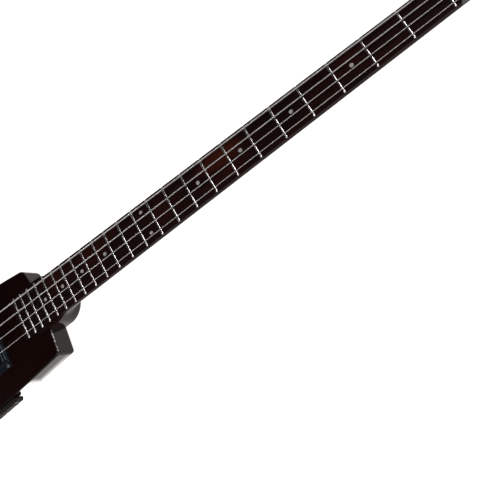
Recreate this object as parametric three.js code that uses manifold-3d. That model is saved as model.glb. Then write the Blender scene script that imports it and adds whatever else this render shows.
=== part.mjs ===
// Electric bass guitar without a headstock: slab body, bolted neck, tuners at the tail.
// Millimetres. +X runs to the head end, +Y to the bass side and +Z out of the front.
// The origin lies on the back face, midway along the body, on the neck's centre line.
import * as THREE from "three";
import { mergeVertices } from "three/addons/utils/BufferGeometryUtils.js";
import Module from "manifold-3d";

const wasm = await Module();
wasm.setup();

// Fits and cuts
const seatGap = 0.3;
const runningGap = 0.4;
const overrun = 2;
const weldDistance = 0.001;

// Facets of round pieces
const fineSides = 16;
const plainSides = 10;
const wireSides = 6;
const cornerSteps = 3;
const edgeSteps = 2;
const backSteps = 4;

// Body
const bodyThickness = 36;
const frontEdge = 2;
const backEdge = 8;
const leastCorner = 0.5;
const shoulderSweep = 3;
const trebleShoulder = 70;
const trebleTail = 98;
const trebleFlareShare = 0.125;
const trebleCorner = 6;
const bassShoulder = 59.5;
const bassTail = 90;
const bassFlareShare = 0.138;
const bassCorner = 9;
const tailCorner = 26;
const sideSteps = 8;

// Scale and strings, from the bass side to the treble side
const scaleLength = 863.6;
const saddleInset = 73.4;
const stringNames = ["e", "a", "d", "g"];
const stringDiameters = [2.6, 2, 1.5, 1.1];
const nutSpread = 29.4;
const bridgeSpread = 53;
const crownGap = 0.2;
const saddleStringRise = 4.2;
const ballDiameter = 5;
const ballLength = 5;

// Fretboard and frets
const fretCount = 24;
const octaveSteps = 12;
const boardRise = 8;
const boardThickness = 6;
const boardRadius = 508;
const nutWidth = 38.1;
const lastFretWidth = 61;
const boardPastLastFret = 8;
const boardPastZeroFret = 6;
const boardSteps = 6;
const fretWidth = 2.8;
const fretHeight = 1.1;
const zeroFretHeight = 1.4;
const fretEndInset = 0.4;
const fretRoot = 1;

// Neck
const neckDepthAtNut = 15;
const neckDepthAtHeel = 17;
const neckBackSteps = 14;
const neckRoundness = 2.2;
const heelLength = 42.5;
const heelDepth = 34;
const heelSpread = 5;
const heelNose = 30;
const heelEdge = 4;
const heelFlareLength = 26;
const heelFlareDepth = 10;
const heelFlareSteps = 8;
const tenonDepth = 22;
const tenonLength = 38.7;

// Truss rod and its nut
const trussWidth = 6;
const trussDepth = 9;
const trussTailInset = 30;
const trussNutRadius = 4;
const trussNutLength = 12;
const trussNutInset = 2;
const trussKeyRadius = 3.4;

// Headpiece
const headpieceLength = 34;
const headpieceRise = 2;
const headpieceEdge = 2;
const headBallInset = 7;
const headBallDrop = 2;
const headScrewSpread = 24;
const headScrewDrop = 5;

// Pickups
const pickupWidth = 32;
const pickupLength = 92;
const pickupHeight = 17.5;
const pickupProud = 5;
const pickupFlangeLength = 6.5;
const pickupFlangeDrop = 2.4;
const pickupCorner = 6;
const pickupRaisedCorner = 2.5;
const pickupEdge = 1;
const pickupWall = 2;
const pickupHollowInset = 12;
const pickupCoreHeight = 13;
const pickupScrewInset = 3.4;
const pickupScrewAlong = 11;
const boardToPickup = 40.8;
const saddleToPickup = 66;

// Bridge
const bridgeLip = 11;
const bridgeFloor = 3;
const bridgeWall = 3;
const bridgeWallHeight = 9;
const bridgeRearWall = 5;
const bridgeRearHeight = 14;
const bridgeRib = 2.5;
const bridgeRibHeight = 4;
const bridgeScrewInset = 5;
const bridgeScrewSpread = 36;
const saddleWidth = 15;
const saddleFront = 7;
const saddleBack = 9;
const saddleFrontHeight = 5;
const saddleBackHeight = 3;
const saddleTravel = 2;
const saddleForward = 6;
const saddleClearance = 0.6;
const saddleGroove = 1.2;

// Jaws and tuner knobs
const jawWidth = 13;
const jawLength = 16;
const jawFrontWall = 2.5;
const jawTravel = 4.8;
const jawStopGap = 0.7;
const jawRearGap = 1;
const jawLip = 3;
const jawAxisRise = 8;
const jawRodRadius = 2;
const jawRodReach = 14;
const tunerRadius = 8;
const tunerLength = 22;
const tunerCollarRadius = 5.5;
const tunerCollarLength = 3;
const tunerEdge = 1;

// Tail notch for the fingers
const notchMargin = 7;
const notchFloor = 15;
const notchDrop = 2;
const notchBend = 10;

// Control cavity, its cover, pots and knobs
const cavityToPickup = 3.5;
const cavityWidth = 18.5;
const cavityHeadX = 36;
const cavityTailX = -78;
const cavityRoof = 6;
const cavityCorner = 8;
const coverLedge = 6;
const coverThickness = 2;
const coverInset = 0.3;
const coverScrewInset = 3.2;
const potPlaces = [20, -20, -60];
const potRadius = 8;
const potHeight = 9;
const bushingRadius = 4.6;
const bushingRise = 3;
const shaftRadius = 3;
const knobRadius = 9.5;
const knobHeight = 17;
const knobStandoff = 0.8;
const knobRecessRadius = 6.5;
const knobRecessDepth = 4;
const knobEdge = 1.2;

// Output jack
const jackY = 66;
const jackZ = 18;
const jackBore = 3.4;
const jackBarrelRadius = 4.8;
const jackLength = 26;
const jackFlangeRadius = 8;
const jackFlange = 2.5;

// Wiring
const leadRadius = 1.2;
const leadGap = 0.5;
const leadStart = 12;
const leadOffset = 8;
const leadTurn = 36;
const leadWallGap = 4;
const leadZ = 13;
const wireHoleRadius = 3;

// Strap buttons
const buttonRadius = 7.5;
const buttonWaist = 4.2;
const buttonBase = 6.5;
const buttonHeight = 12;
const buttonRim = 3;
const buttonX = 62;
const buttonY = 66;
const buttonZ = 18;

// Folding leg rest
const restTipX = 61;
const restLength = 131;
const restHeight = 16;
const restTongue = 8.8;
const restZ = 26.6;
const restProud = 8;
const restSideGap = 0.6;
const restCorner = 3;
const restPlate = 2.2;
const restPlateLength = 34;
const restPlateGap = 0.5;
const restEar = 3;
const restKnuckle = 4.2;
const restShoulderGap = 0.6;
const restPinRadius = 1.6;
const restPinHead = 2.8;
const restPinHeadHeight = 1;
const restPadLength = 92;
const restPadHeight = 9;
const restPadTipInset = 10;
const restPadProud = 0.6;
const restPadDepth = 1.5;
const restScrewSpread = 24;

// Screws: lengths are measured from the top of the head
const neckBolt = { head: 4.5, headHeight: 3, shank: 2.5, length: 31 };
const headScrew = { head: 3.4, headHeight: 3, shank: 1.8, length: 52 };
const pickupScrew = { head: 2.6, headHeight: 1.8, shank: 1.4, length: 30 };
const bridgeScrew = { head: 3.2, headHeight: 2, shank: 1.8, length: 24 };
const coverScrew = { head: 2.2, headHeight: 1.2, shank: 1.2, length: 11 };
const buttonScrew = { head: 3.6, headHeight: 2, shank: 1.9, length: 34 };
const restScrew = { head: 2.6, headHeight: 1.6, shank: 1.5, length: 13 };
const boltSpread = 36;
const boltPlaceShares = [0.22, 0.78];
const boltSink = 0.6;

// Places that follow from the sizes
const saddleToBoardTail = scaleLength * 2 ** (-fretCount / octaveSteps) - boardPastLastFret;
const bodyLength = saddleInset + saddleToBoardTail + tenonLength;
const shoulderX = bodyLength / 2;
const tailX = -bodyLength / 2;
const saddleX = tailX + saddleInset;
const zeroFretX = saddleX + scaleLength;
const boardHeadX = zeroFretX + boardPastZeroFret;
const lastFretX = fretX(fretCount);
const boardTailX = lastFretX - boardPastLastFret;
const boardTop = bodyThickness + boardRise;
const boardBottom = boardTop - boardThickness;
const tenonBottom = boardBottom - tenonDepth;
const stringCount = stringNames.length;
const bridgePitch = bridgeSpread / (stringCount - 1);
const neckPickupX = boardTailX - boardToPickup - pickupWidth / 2;
const bridgePickupX = saddleX + saddleToPickup;
const pickupTop = bodyThickness + pickupProud;
const pickupBottom = pickupTop - pickupHeight;
const pickupFlangeTop = pickupTop - pickupFlangeDrop;
const pickupRaisedLength = pickupLength - 2 * pickupFlangeLength;
const pickupHollowLength = pickupLength - 2 * pickupHollowInset;
const bridgeZ = bodyThickness + seatGap;
const bridgeTop = bridgeZ + bridgeFloor;
const saddleRearX = saddleX - saddleBack;
const jawFrontX = saddleRearX - saddleTravel - jawTravel - jawStopGap;
const jawRearX = jawFrontX - jawLength;
const bridgeRearX = jawRearX - jawRearGap - bridgeRearWall;
const bridgeFrontX = saddleX + saddleFront + saddleForward + bridgeLip;
const bridgeHalf = bridgeSpread / 2 + saddleWidth / 2 + 2 * runningGap + bridgeWall;
const jawZ = bodyThickness + jawAxisRise;
const jawBallX = jawFrontX - jawFrontWall - seatGap - ballDiameter / 2;
const headFrontX = boardHeadX + seatGap;
const headEndX = headFrontX + headpieceLength;
const headBallX = headEndX - headBallInset;
const headBallZ = boardTop - headBallDrop;
const headTop = boardTop + headpieceRise;
const trussZ = boardBottom - trussDepth / 2;
const cavityRoofZ = bodyThickness - cavityRoof;
const cavityInner = pickupLength / 2 + cavityToPickup;
const cavityOuter = cavityInner + cavityWidth;
const potY = -(cavityInner + cavityOuter) / 2;

// Distance rule of equal-tempered frets.
function fretX(number) {
  return zeroFretX - scaleLength * (1 - 2 ** (-number / octaveSteps));
}

// Half the fretboard's width at a place along it.
function boardHalf(x) {
  const along = (zeroFretX - x) / (zeroFretX - lastFretX);
  return (nutWidth + (lastFretWidth - nutWidth) * along) / 2;
}

// Height of the cambered fretboard at a distance from its centre line.
function boardCamber(y) {
  return boardTop - boardRadius + Math.sqrt(boardRadius ** 2 - y ** 2);
}

// Distance of a flared side from the centre line.
function flaredSide(x, shoulder, tail, flareShare) {
  const along = shoulderX - x;
  const bend = (shoulder + flareShare * bodyLength - tail) / bodyLength ** 2;
  return shoulder + flareShare * along - bend * along ** 2;
}

function trebleY(x) {
  return -flaredSide(x, trebleShoulder, trebleTail, trebleFlareShare);
}

function bassY(x) {
  return flaredSide(x, bassShoulder, bassTail, bassFlareShare);
}

// The angle that a side makes with X around a place on it.
function sideTurn(side, x, reach) {
  return Math.atan2(side(x + reach) - side(x - reach), 2 * reach);
}

function stringY(number, spread) {
  return spread / 2 - (number * spread) / (stringCount - 1);
}

function point(x, y, z) {
  return new THREE.Vector3(x, y, z);
}

const towardHead = point(1, 0, 0);
const towardTail = point(-1, 0, 0);
const towardBass = point(0, 1, 0);
const towardTreble = point(0, -1, 0);
const towardFront = point(0, 0, 1);
const towardBack = point(0, 0, -1);

// Solids from three.js geometries, ready to be cut and joined.
function solid(geometry) {
  const bare = geometry.clone();
  bare.deleteAttribute("normal");
  bare.deleteAttribute("uv");
  const merged = mergeVertices(bare, weldDistance);
  const vertProperties = merged.attributes.position.array;
  const triVerts = new Uint32Array(merged.index.array);
  return new wasm.Manifold(new wasm.Mesh({ numProp: 3, vertProperties, triVerts }));
}

function join(...parts) {
  return parts.reduce((whole, part) => whole.add(part));
}

function cut(whole, ...tools) {
  return tools.reduce((rest, tool) => rest.subtract(tool), whole);
}

function block(x0, x1, y0, y1, z0, z1) {
  const geometry = new THREE.BoxGeometry(x1 - x0, y1 - y0, z1 - z0);
  geometry.translate((x0 + x1) / 2, (y0 + y1) / 2, (z0 + z1) / 2);
  return solid(geometry);
}

// A straight round bar between two points.
function bar(from, to, radius, sides = plainSides) {
  const run = to.clone().sub(from);
  const middle = to.clone().add(from).divideScalar(2);
  const geometry = new THREE.CylinderGeometry(radius, radius, run.length(), sides);
  geometry.applyQuaternion(new THREE.Quaternion().setFromUnitVectors(towardBass, run.normalize()));
  geometry.translate(middle.x, middle.y, middle.z);
  return solid(geometry);
}

// An outline in plan made into a plate, its edges rounded by the given amount.
function plate(shape, z0, z1, edge = 0, steps = edgeSteps) {
  const geometry = new THREE.ExtrudeGeometry(shape, {
    depth: z1 - z0 - 2 * edge,
    curveSegments: cornerSteps,
    bevelEnabled: edge > 0,
    bevelThickness: edge,
    bevelSize: edge,
    bevelOffset: -edge,
    bevelSegments: steps,
  });
  geometry.translate(0, 0, z0 + edge);
  return solid(geometry);
}

// A profile of [radius, height] pairs turned about Z.
function turned(profile, sides = plainSides) {
  const points = profile.map(([radius, height]) => new THREE.Vector2(radius, height));
  const geometry = new THREE.LatheGeometry(points, sides);
  geometry.rotateX(Math.PI / 2);
  return solid(geometry);
}

// A skin through rings that follow each other, closed at both ends. Seen from the last ring,
// each ring runs anticlockwise.
function loft(rings) {
  const count = rings[0].length;
  const positions = rings.flat().flatMap((corner) => corner.toArray());
  const last = (rings.length - 1) * count;
  const index = [];
  for (let start = 0; start < last; start += count)
    for (let i = 0; i < count; i++) {
      const a = start + i;
      const b = start + ((i + 1) % count);
      index.push(a, b, b + count, a, b + count, a + count);
    }
  for (let i = 1; i < count - 1; i++) index.push(0, i + 1, i, last, last + i, last + i + 1);
  const geometry = new THREE.BufferGeometry();
  geometry.setAttribute("position", new THREE.Float32BufferAttribute(positions, 3));
  geometry.setIndex(index);
  return solid(geometry);
}

function roundedRectangle(x0, x1, y0, y1, radius) {
  const quarter = Math.PI / 2;
  const shape = new THREE.Shape();
  shape.absarc(x1 - radius, y1 - radius, radius, 0, quarter);
  shape.absarc(x0 + radius, y1 - radius, radius, quarter, 2 * quarter);
  shape.absarc(x0 + radius, y0 + radius, radius, 2 * quarter, 3 * quarter);
  shape.absarc(x1 - radius, y0 + radius, radius, 3 * quarter, 4 * quarter);
  return shape;
}

// Screws point down, with the top of the head at their own origin.
function screwSolid(kind) {
  return turned([
    [0, -kind.length],
    [kind.shank, kind.shank - kind.length],
    [kind.shank, -kind.headHeight],
    [kind.head, -kind.headHeight],
    [kind.head, -kind.headHeight / 2],
    [kind.head - kind.headHeight / 2, 0],
    [0, 0],
  ]);
}

// The hole that a screw needs, seen from its head, with room for a head that is sunk.
function screwHole(kind, at, outward, sunk = false) {
  const tip = at.clone().addScaledVector(outward, -kind.length - seatGap);
  const top = at.clone().addScaledVector(outward, overrun);
  const under = at.clone().addScaledVector(outward, -kind.headHeight - seatGap);
  const shank = bar(tip, top, kind.shank + seatGap);
  return sunk ? join(shank, bar(under, top, kind.head + seatGap)) : shank;
}

// Materials
function material(color, roughness, metalness) {
  return new THREE.MeshStandardMaterial({ color, roughness, metalness });
}

const blackLacquer = material(0x0b0a0b, 0.12, 0);
const neckLacquer = material(0x171010, 0.2, 0);
const rosewood = material(0x2a1613, 0.5, 0);
const blackMetal = material(0x18181a, 0.35, 0.8);
const steel = material(0xb9b6b2, 0.3, 1);
const brass = material(0xb08d4a, 0.35, 1);
const blackPlastic = material(0x111114, 0.45, 0);
const coilDark = material(0x33302c, 0.6, 0.2);
const rubber = material(0x1a1a1a, 0.9, 0);
const insulation = material(0x3a3a40, 0.6, 0);
const stringSteel = material(0xc9c6c0, 0.35, 1);

const bass = new THREE.Group();

// Adds one named piece, moved and turned so that its own Z points along outward.
function addPiece(name, made, look, at = point(0, 0, 0), outward = towardFront, parent = bass) {
  const mesh = made.getMesh();
  const geometry = new THREE.BufferGeometry();
  geometry.setAttribute("position", new THREE.BufferAttribute(mesh.vertProperties, mesh.numProp));
  geometry.setIndex(new THREE.BufferAttribute(mesh.triVerts, 1));
  geometry.computeVertexNormals();
  const piece = new THREE.Mesh(geometry, look);
  piece.name = name;
  piece.position.copy(at);
  piece.quaternion.setFromUnitVectors(towardFront, outward);
  parent.add(piece);
}

// Where each screw sits: its kind, the top of its head and the way it faces.
const boltPlaces = boltPlaceShares.flatMap((share) =>
  [1, -1].map((side) =>
    point(boardTailX + share * tenonLength, (side * boltSpread) / 2, boltSink),
  ),
);
const headScrewPlaces = [1, -1].map((side) =>
  point(headEndX - boltSink, (side * headScrewSpread) / 2, boardBottom - headScrewDrop),
);
const pickupScrewPlaces = [neckPickupX, bridgePickupX].flatMap((x) =>
  [1, -1].map((side) =>
    point(
      x - side * pickupScrewAlong,
      side * (pickupLength / 2 - pickupScrewInset),
      pickupFlangeTop + pickupScrew.headHeight + seatGap,
    ),
  ),
);
const bridgeScrewPlaces = [1, -1].map((side) =>
  point(
    bridgeFrontX - bridgeScrewInset,
    (side * bridgeScrewSpread) / 2,
    bridgeTop + seatGap + bridgeScrew.headHeight,
  ),
);
const coverScrewPlaces = [cavityHeadX + coverScrewInset, cavityTailX - coverScrewInset].map((x) =>
  point(x, potY, coverInset),
);
const buttonTurn = sideTurn(bassY, buttonX, buttonBase);
const buttonOutward = point(-Math.sin(buttonTurn), Math.cos(buttonTurn), 0);
const frontButtonPlace = point(buttonX, bassY(buttonX), buttonZ).addScaledVector(
  buttonOutward,
  seatGap,
);
const rearButtonPlace = point(tailX - seatGap, buttonY, buttonZ);
const jackPlace = point(tailX - seatGap, -jackY, jackZ);

// The neck pickup's lead, the bridge pickup's lead and the lead to the jack, as straight runs.
const leadY = -cavityInner - leadWallGap;
const leadGrooveZ = pickupBottom - seatGap - leadRadius;
const mainLead = [
  point(neckPickupX - leadOffset, -leadStart, leadGrooveZ),
  point(neckPickupX - leadOffset, -leadTurn, leadGrooveZ),
  point(cavityHeadX - cavityCorner, leadY, leadZ),
  point(cavityTailX + cavityCorner, leadY, leadZ),
  point(tailX + jackLength + overrun, -jackY, jackZ),
];
const bridgeLead = [
  point(bridgePickupX - leadOffset, -leadStart, leadGrooveZ),
  point(bridgePickupX - leadOffset, -leadTurn, leadGrooveZ),
  point(bridgePickupX - leadOffset, leadY, leadZ),
];

// The leg rest's own frame: X along the treble side, and -Y outward.
const restHingeX = restTipX - restLength;
const restTurn = sideTurn(trebleY, (restTipX + restHingeX) / 2, restLength / 2);
const restOutward = point(Math.sin(restTurn), -Math.cos(restTurn), 0);
const restFrame = new THREE.Group();
restFrame.position.set(restHingeX, trebleY(restHingeX), restZ);
restFrame.rotation.z = restTurn;
restFrame.updateMatrix();
const restPlateY = -seatGap - restPlate;
const restPinY = restPlateY - restPlateGap - restKnuckle;
const restEarZ = restTongue / 2 + runningGap;
const restOuterZ = restEarZ + restEar;
const restScrewSeats = [1, -1].map((side) => point((side * restScrewSpread) / 2, restPlateY, 0));
const restScrewPlaces = restScrewSeats.map((seat) => seat.clone().applyMatrix4(restFrame.matrix));

function runs(points, radius) {
  const bars = [];
  for (let i = 1; i < points.length; i++) bars.push(bar(points[i - 1], points[i], radius, wireSides));
  return join(...bars);
}

// Body
// The body's outline in plan, drawn in by the given amount.
function bodyOutline(inset) {
  const endX = shoulderX - inset;
  const cornerX = endX - shoulderSweep;
  const rearX = tailX + inset;
  const treble = (x) => trebleY(x) + inset;
  const bass = (x) => bassY(x) - inset;
  const flat = boardHalf(shoulderX) + heelSpread - inset;
  const onTreble = Math.max(trebleCorner - inset, leastCorner);
  const onBass = Math.max(bassCorner - inset, leastCorner);
  const atTail = tailCorner - inset;
  const step = (cornerX - onTreble - rearX - atTail) / sideSteps;
  const shape = new THREE.Shape();
  shape.moveTo(endX, -flat);
  shape.lineTo(cornerX, treble(cornerX) + onTreble);
  shape.quadraticCurveTo(cornerX, treble(cornerX), cornerX - onTreble, treble(cornerX - onTreble));
  for (let i = 1; i <= sideSteps; i++) {
    const x = cornerX - onTreble - i * step;
    shape.lineTo(x, treble(x));
  }
  shape.quadraticCurveTo(rearX, treble(rearX), rearX, treble(rearX) + atTail);
  shape.lineTo(rearX, bass(rearX) - atTail);
  shape.quadraticCurveTo(rearX, bass(rearX), rearX + atTail, bass(rearX + atTail));
  for (let i = sideSteps - 1; i > 0; i--) {
    const x = cornerX - onTreble - i * step;
    shape.lineTo(x, bass(x));
  }
  shape.lineTo(cornerX - onBass, bass(cornerX - onBass));
  shape.quadraticCurveTo(cornerX, bass(cornerX), cornerX, bass(cornerX) - onBass);
  shape.lineTo(endX, flat);
  return shape;
}

// The slab without its cuts: a small round on the front edge, a large one on the back edge.
function slabSolid() {
  const levels = [];
  for (let i = 0; i <= edgeSteps; i++) {
    const angle = (Math.PI / 2) * (i / edgeSteps);
    const inset = frontEdge * (1 - Math.sin(angle));
    levels.push([inset, bodyThickness - frontEdge * (1 - Math.cos(angle))]);
  }
  for (let i = 0; i <= backSteps; i++) {
    const angle = (Math.PI / 2) * (i / backSteps);
    levels.push([backEdge * (1 - Math.cos(angle)), backEdge * (1 - Math.sin(angle))]);
  }
  const rings = levels.map(([inset, z]) =>
    bodyOutline(inset)
      .getPoints(cornerSteps)
      .map((corner) => point(corner.x, corner.y, z)),
  );
  return loft(rings);
}

function tailNotch() {
  const half = bridgeSpread / 2 + tunerRadius + notchMargin;
  const profile = new THREE.Shape();
  profile.moveTo(bridgeRearX, bodyThickness + overrun);
  profile.lineTo(bridgeRearX, notchFloor + notchBend);
  profile.quadraticCurveTo(bridgeRearX, notchFloor, bridgeRearX - notchBend, notchFloor);
  profile.lineTo(tailX - overrun, notchFloor - notchDrop);
  profile.lineTo(tailX - overrun, bodyThickness + overrun);
  const scoop = new THREE.ExtrudeGeometry(profile, {
    depth: 2 * half,
    curveSegments: cornerSteps,
    bevelEnabled: false,
  });
  scoop.rotateX(Math.PI / 2);
  scoop.translate(0, half, 0);
  return solid(scoop);
}

function tenonPlan(gap, headX) {
  const shape = new THREE.Shape();
  shape.moveTo(boardTailX - gap, -boardHalf(boardTailX) - gap);
  shape.lineTo(headX, -boardHalf(headX) - gap);
  shape.lineTo(headX, boardHalf(headX) + gap);
  shape.lineTo(boardTailX - gap, boardHalf(boardTailX) + gap);
  return shape;
}

function pickupPlan(x, gap) {
  return roundedRectangle(
    x - pickupWidth / 2 - gap,
    x + pickupWidth / 2 + gap,
    -pickupLength / 2 - gap,
    pickupLength / 2 + gap,
    pickupCorner + gap,
  );
}

function cavityPlan(grow) {
  return roundedRectangle(
    cavityTailX - grow,
    cavityHeadX + grow,
    -cavityOuter - grow,
    -cavityInner + grow,
    cavityCorner + grow,
  );
}

function bodySolid() {
  const pockets = [neckPickupX, bridgePickupX].map((x) =>
    plate(pickupPlan(x, seatGap), pickupBottom - seatGap, bodyThickness + overrun),
  );
  const potHoles = potPlaces.map((x) =>
    bar(
      point(x, potY, cavityRoofZ - overrun),
      point(x, potY, bodyThickness + overrun),
      bushingRadius + seatGap,
    ),
  );
  const jackHole = bar(
    point(tailX - overrun, -jackY, jackZ),
    point(tailX + jackLength + overrun, -jackY, jackZ),
    jackBarrelRadius + seatGap,
  );
  const wireHole = bar(
    point(tailX + jackLength, -jackY, jackZ),
    point(cavityTailX + overrun, -jackY, jackZ),
    wireHoleRadius,
    wireSides,
  );
  const restHoles = restScrewPlaces.map((at) => screwHole(restScrew, at, restOutward));
  return cut(
    slabSolid(),
    tailNotch(),
    plate(
      tenonPlan(seatGap, shoulderX + overrun),
      tenonBottom - seatGap,
      bodyThickness + overrun,
    ),
    ...pockets,
    plate(cavityPlan(0), -overrun, cavityRoofZ),
    plate(cavityPlan(coverLedge), -overrun, coverInset + coverThickness + seatGap),
    ...potHoles,
    jackHole,
    wireHole,
    runs(mainLead, leadRadius + leadGap),
    runs(bridgeLead, leadRadius + leadGap),
    ...boltPlaces.map((at) => screwHole(neckBolt, at, towardBack, true)),
    ...pickupScrewPlaces.map((at) => screwHole(pickupScrew, at, towardFront)),
    ...bridgeScrewPlaces.map((at) => screwHole(bridgeScrew, at, towardFront)),
    ...coverScrewPlaces.map((at) => screwHole(coverScrew, at, towardBack)),
    screwHole(buttonScrew, buttonScrewTop(frontButtonPlace, buttonOutward), buttonOutward),
    screwHole(buttonScrew, buttonScrewTop(rearButtonPlace, towardTail), towardTail),
    ...restHoles,
  );
}

// Neck: a round back that flares into the carved heel, and a flat tenon in the body's pocket.
function neckRing(x) {
  const flareX = shoulderX + heelLength + heelFlareLength;
  const toNut = (x - shoulderX) / (zeroFretX - shoulderX);
  const plain = neckDepthAtHeel + (neckDepthAtNut - neckDepthAtHeel) * toNut;
  const flare = THREE.MathUtils.clamp((flareX - x) / heelFlareLength, 0, 1);
  const depth = plain + heelFlareDepth * flare ** 3;
  const half = boardHalf(x);
  const ring = [];
  for (let i = 0; i <= neckBackSteps; i++) {
    const angle = (Math.PI * i) / neckBackSteps;
    const side = Math.cos(angle);
    const across = Math.sign(side) * Math.abs(side) ** (2 / neckRoundness);
    const down = Math.abs(Math.sin(angle)) ** (2 / neckRoundness);
    ring.push(point(x, -half * across, boardBottom - depth * down));
  }
  return ring;
}

function neckStations() {
  const heelX = shoulderX + heelLength;
  const stations = [shoulderX + seatGap];
  for (let i = 0; i <= heelFlareSteps; i++)
    stations.push(heelX + (heelFlareLength * i) / heelFlareSteps);
  return [...stations, (heelX + boardHeadX) / 2, boardHeadX];
}

function heelSolid() {
  const half = boardHalf(shoulderX) + heelSpread;
  const noseX = shoulderX + heelLength - heelNose;
  const quarter = Math.PI / 2;
  const plan = new THREE.Shape();
  plan.moveTo(shoulderX + seatGap - heelEdge, -half);
  plan.lineTo(noseX, -half);
  plan.absellipse(noseX, 0, heelNose, half, -quarter, quarter);
  plan.lineTo(shoulderX + seatGap - heelEdge, half);
  const bottom = boardBottom - heelDepth;
  return cut(
    plate(plan, bottom, boardBottom + heelEdge, heelEdge, backSteps),
    block(tailX, shoulderX + seatGap, -half - overrun, half + overrun, 0, boardTop),
    block(tailX, boardHeadX, -half - overrun, half + overrun, boardBottom, boardTop),
  );
}

function neckSolid() {
  const tenonHeadX = shoulderX + heelLength - heelNose;
  const nutEndX = boardHeadX - trussNutInset - trussNutLength - seatGap;
  return cut(
    join(
      loft(neckStations().map(neckRing)),
      heelSolid(),
      plate(tenonPlan(0, tenonHeadX), tenonBottom, boardBottom),
    ),
    block(
      boardTailX + trussTailInset - seatGap,
      boardHeadX + overrun,
      -trussWidth / 2 - seatGap,
      trussWidth / 2 + seatGap,
      boardBottom - trussDepth - seatGap,
      boardBottom + overrun,
    ),
    bar(
      point(nutEndX, 0, trussZ),
      point(boardHeadX + overrun, 0, trussZ),
      trussNutRadius + seatGap,
    ),
    ...boltPlaces.map((at) => screwHole(neckBolt, at, towardBack)),
    ...headScrewPlaces.map((at) => screwHole(headScrew, at, towardHead)),
  );
}

// Fretboard with its frets pressed in.
function boardRing(x) {
  const half = boardHalf(x);
  const ring = [point(x, -half, boardBottom + seatGap), point(x, half, boardBottom + seatGap)];
  for (let i = 0; i <= boardSteps; i++) {
    const y = half - (2 * half * i) / boardSteps;
    ring.push(point(x, y, boardCamber(y)));
  }
  return ring;
}

// One fret: a low crown that follows the camber from side to side.
function fretSolid(x, height) {
  const half = boardHalf(x) - fretEndInset;
  const crownShares = [
    [-0.5, 0],
    [-0.25, 1],
    [0.25, 1],
    [0.5, 0],
  ];
  const rings = [];
  for (let i = 0; i <= boardSteps; i++) {
    const y = -half + (2 * half * i) / boardSteps;
    const surface = boardCamber(y);
    const crown = crownShares.map(([across, up]) =>
      point(x + across * fretWidth, y, surface + up * height),
    );
    rings.push([
      point(x + fretWidth / 2, y, surface - fretRoot),
      point(x - fretWidth / 2, y, surface - fretRoot),
      ...crown,
    ]);
  }
  return loft(rings);
}

function fretboardSolid() {
  const frets = [fretSolid(zeroFretX, zeroFretHeight)];
  for (let number = 1; number <= fretCount; number++)
    frets.push(fretSolid(fretX(number), fretHeight));
  return join(loft([boardRing(boardTailX), boardRing(boardHeadX)]), ...frets);
}

// Strings: a run over the frets, one to each ball end, and the two ball ends.
function stringPath(number) {
  const radius = stringDiameters[number] / 2;
  const nutY = stringY(number, nutSpread);
  const bridgeY = stringY(number, bridgeSpread);
  return {
    radius,
    headBall: point(headBallX, nutY, headBallZ),
    nut: point(zeroFretX, nutY, boardTop + zeroFretHeight + crownGap + radius),
    saddle: point(saddleX, bridgeY, boardTop + saddleStringRise + radius),
    jawBall: point(jawBallX, bridgeY, jawZ),
  };
}

function ballSolid(centre) {
  const reach = towardBass.clone().multiplyScalar(ballLength / 2);
  return bar(centre.clone().sub(reach), centre.clone().add(reach), ballDiameter / 2);
}

function stringSolid(number) {
  const path = stringPath(number);
  return join(
    bar(path.headBall, path.nut, path.radius, wireSides),
    bar(path.nut, path.saddle, path.radius, wireSides),
    bar(path.saddle, path.jawBall, path.radius, wireSides),
    ballSolid(path.headBall),
    ballSolid(path.jawBall),
  );
}

// Headpiece: a block on the neck's end that holds the front ball ends.
function headpieceRing(x, inset) {
  const ring = neckRing(boardHeadX).map((corner) => {
    const half = boardHalf(boardHeadX);
    const depth = neckDepthAtNut;
    const y = (corner.y * (half - inset)) / half;
    const z = boardBottom + ((corner.z - boardBottom) * (depth - inset)) / depth;
    return point(x, y, z);
  });
  const half = boardHalf(boardHeadX) - inset;
  ring.push(point(x, half, headTop - inset), point(x, -half, headTop - inset));
  return ring;
}

function headpieceSolid() {
  const pockets = stringNames.flatMap((name, number) => {
    const { radius, headBall } = stringPath(number);
    const slot = radius + seatGap;
    const long = ballDiameter / 2 + seatGap;
    const wide = ballLength / 2 + seatGap;
    return [
      block(
        headFrontX - overrun,
        headBallX,
        headBall.y - slot,
        headBall.y + slot,
        headBallZ - slot,
        headTop + overrun,
      ),
      block(
        headBallX - long,
        headBallX + long,
        headBall.y - wide,
        headBall.y + wide,
        headBallZ - long,
        headTop + overrun,
      ),
    ];
  });
  return cut(
    loft([
      headpieceRing(headFrontX, 0),
      headpieceRing(headEndX - headpieceEdge, 0),
      headpieceRing(headEndX, headpieceEdge),
    ]),
    ...pockets,
    bar(
      point(headFrontX - overrun, 0, trussZ),
      point(headEndX + overrun, 0, trussZ),
      trussKeyRadius,
    ),
    ...headScrewPlaces.map((at) => screwHole(headScrew, at, towardHead, true)),
  );
}

// Truss rod and nut
function trussRodSolid() {
  const nutX = boardHeadX - trussNutInset - trussNutLength - 2 * seatGap;
  return block(
    boardTailX + trussTailInset,
    nutX,
    -trussWidth / 2,
    trussWidth / 2,
    boardBottom - trussDepth,
    boardBottom - seatGap,
  );
}

function trussNutSolid() {
  const headX = boardHeadX - trussNutInset;
  return bar(
    point(headX - trussNutLength, 0, trussZ),
    point(headX, 0, trussZ),
    trussNutRadius,
    plainSides,
  );
}

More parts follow.
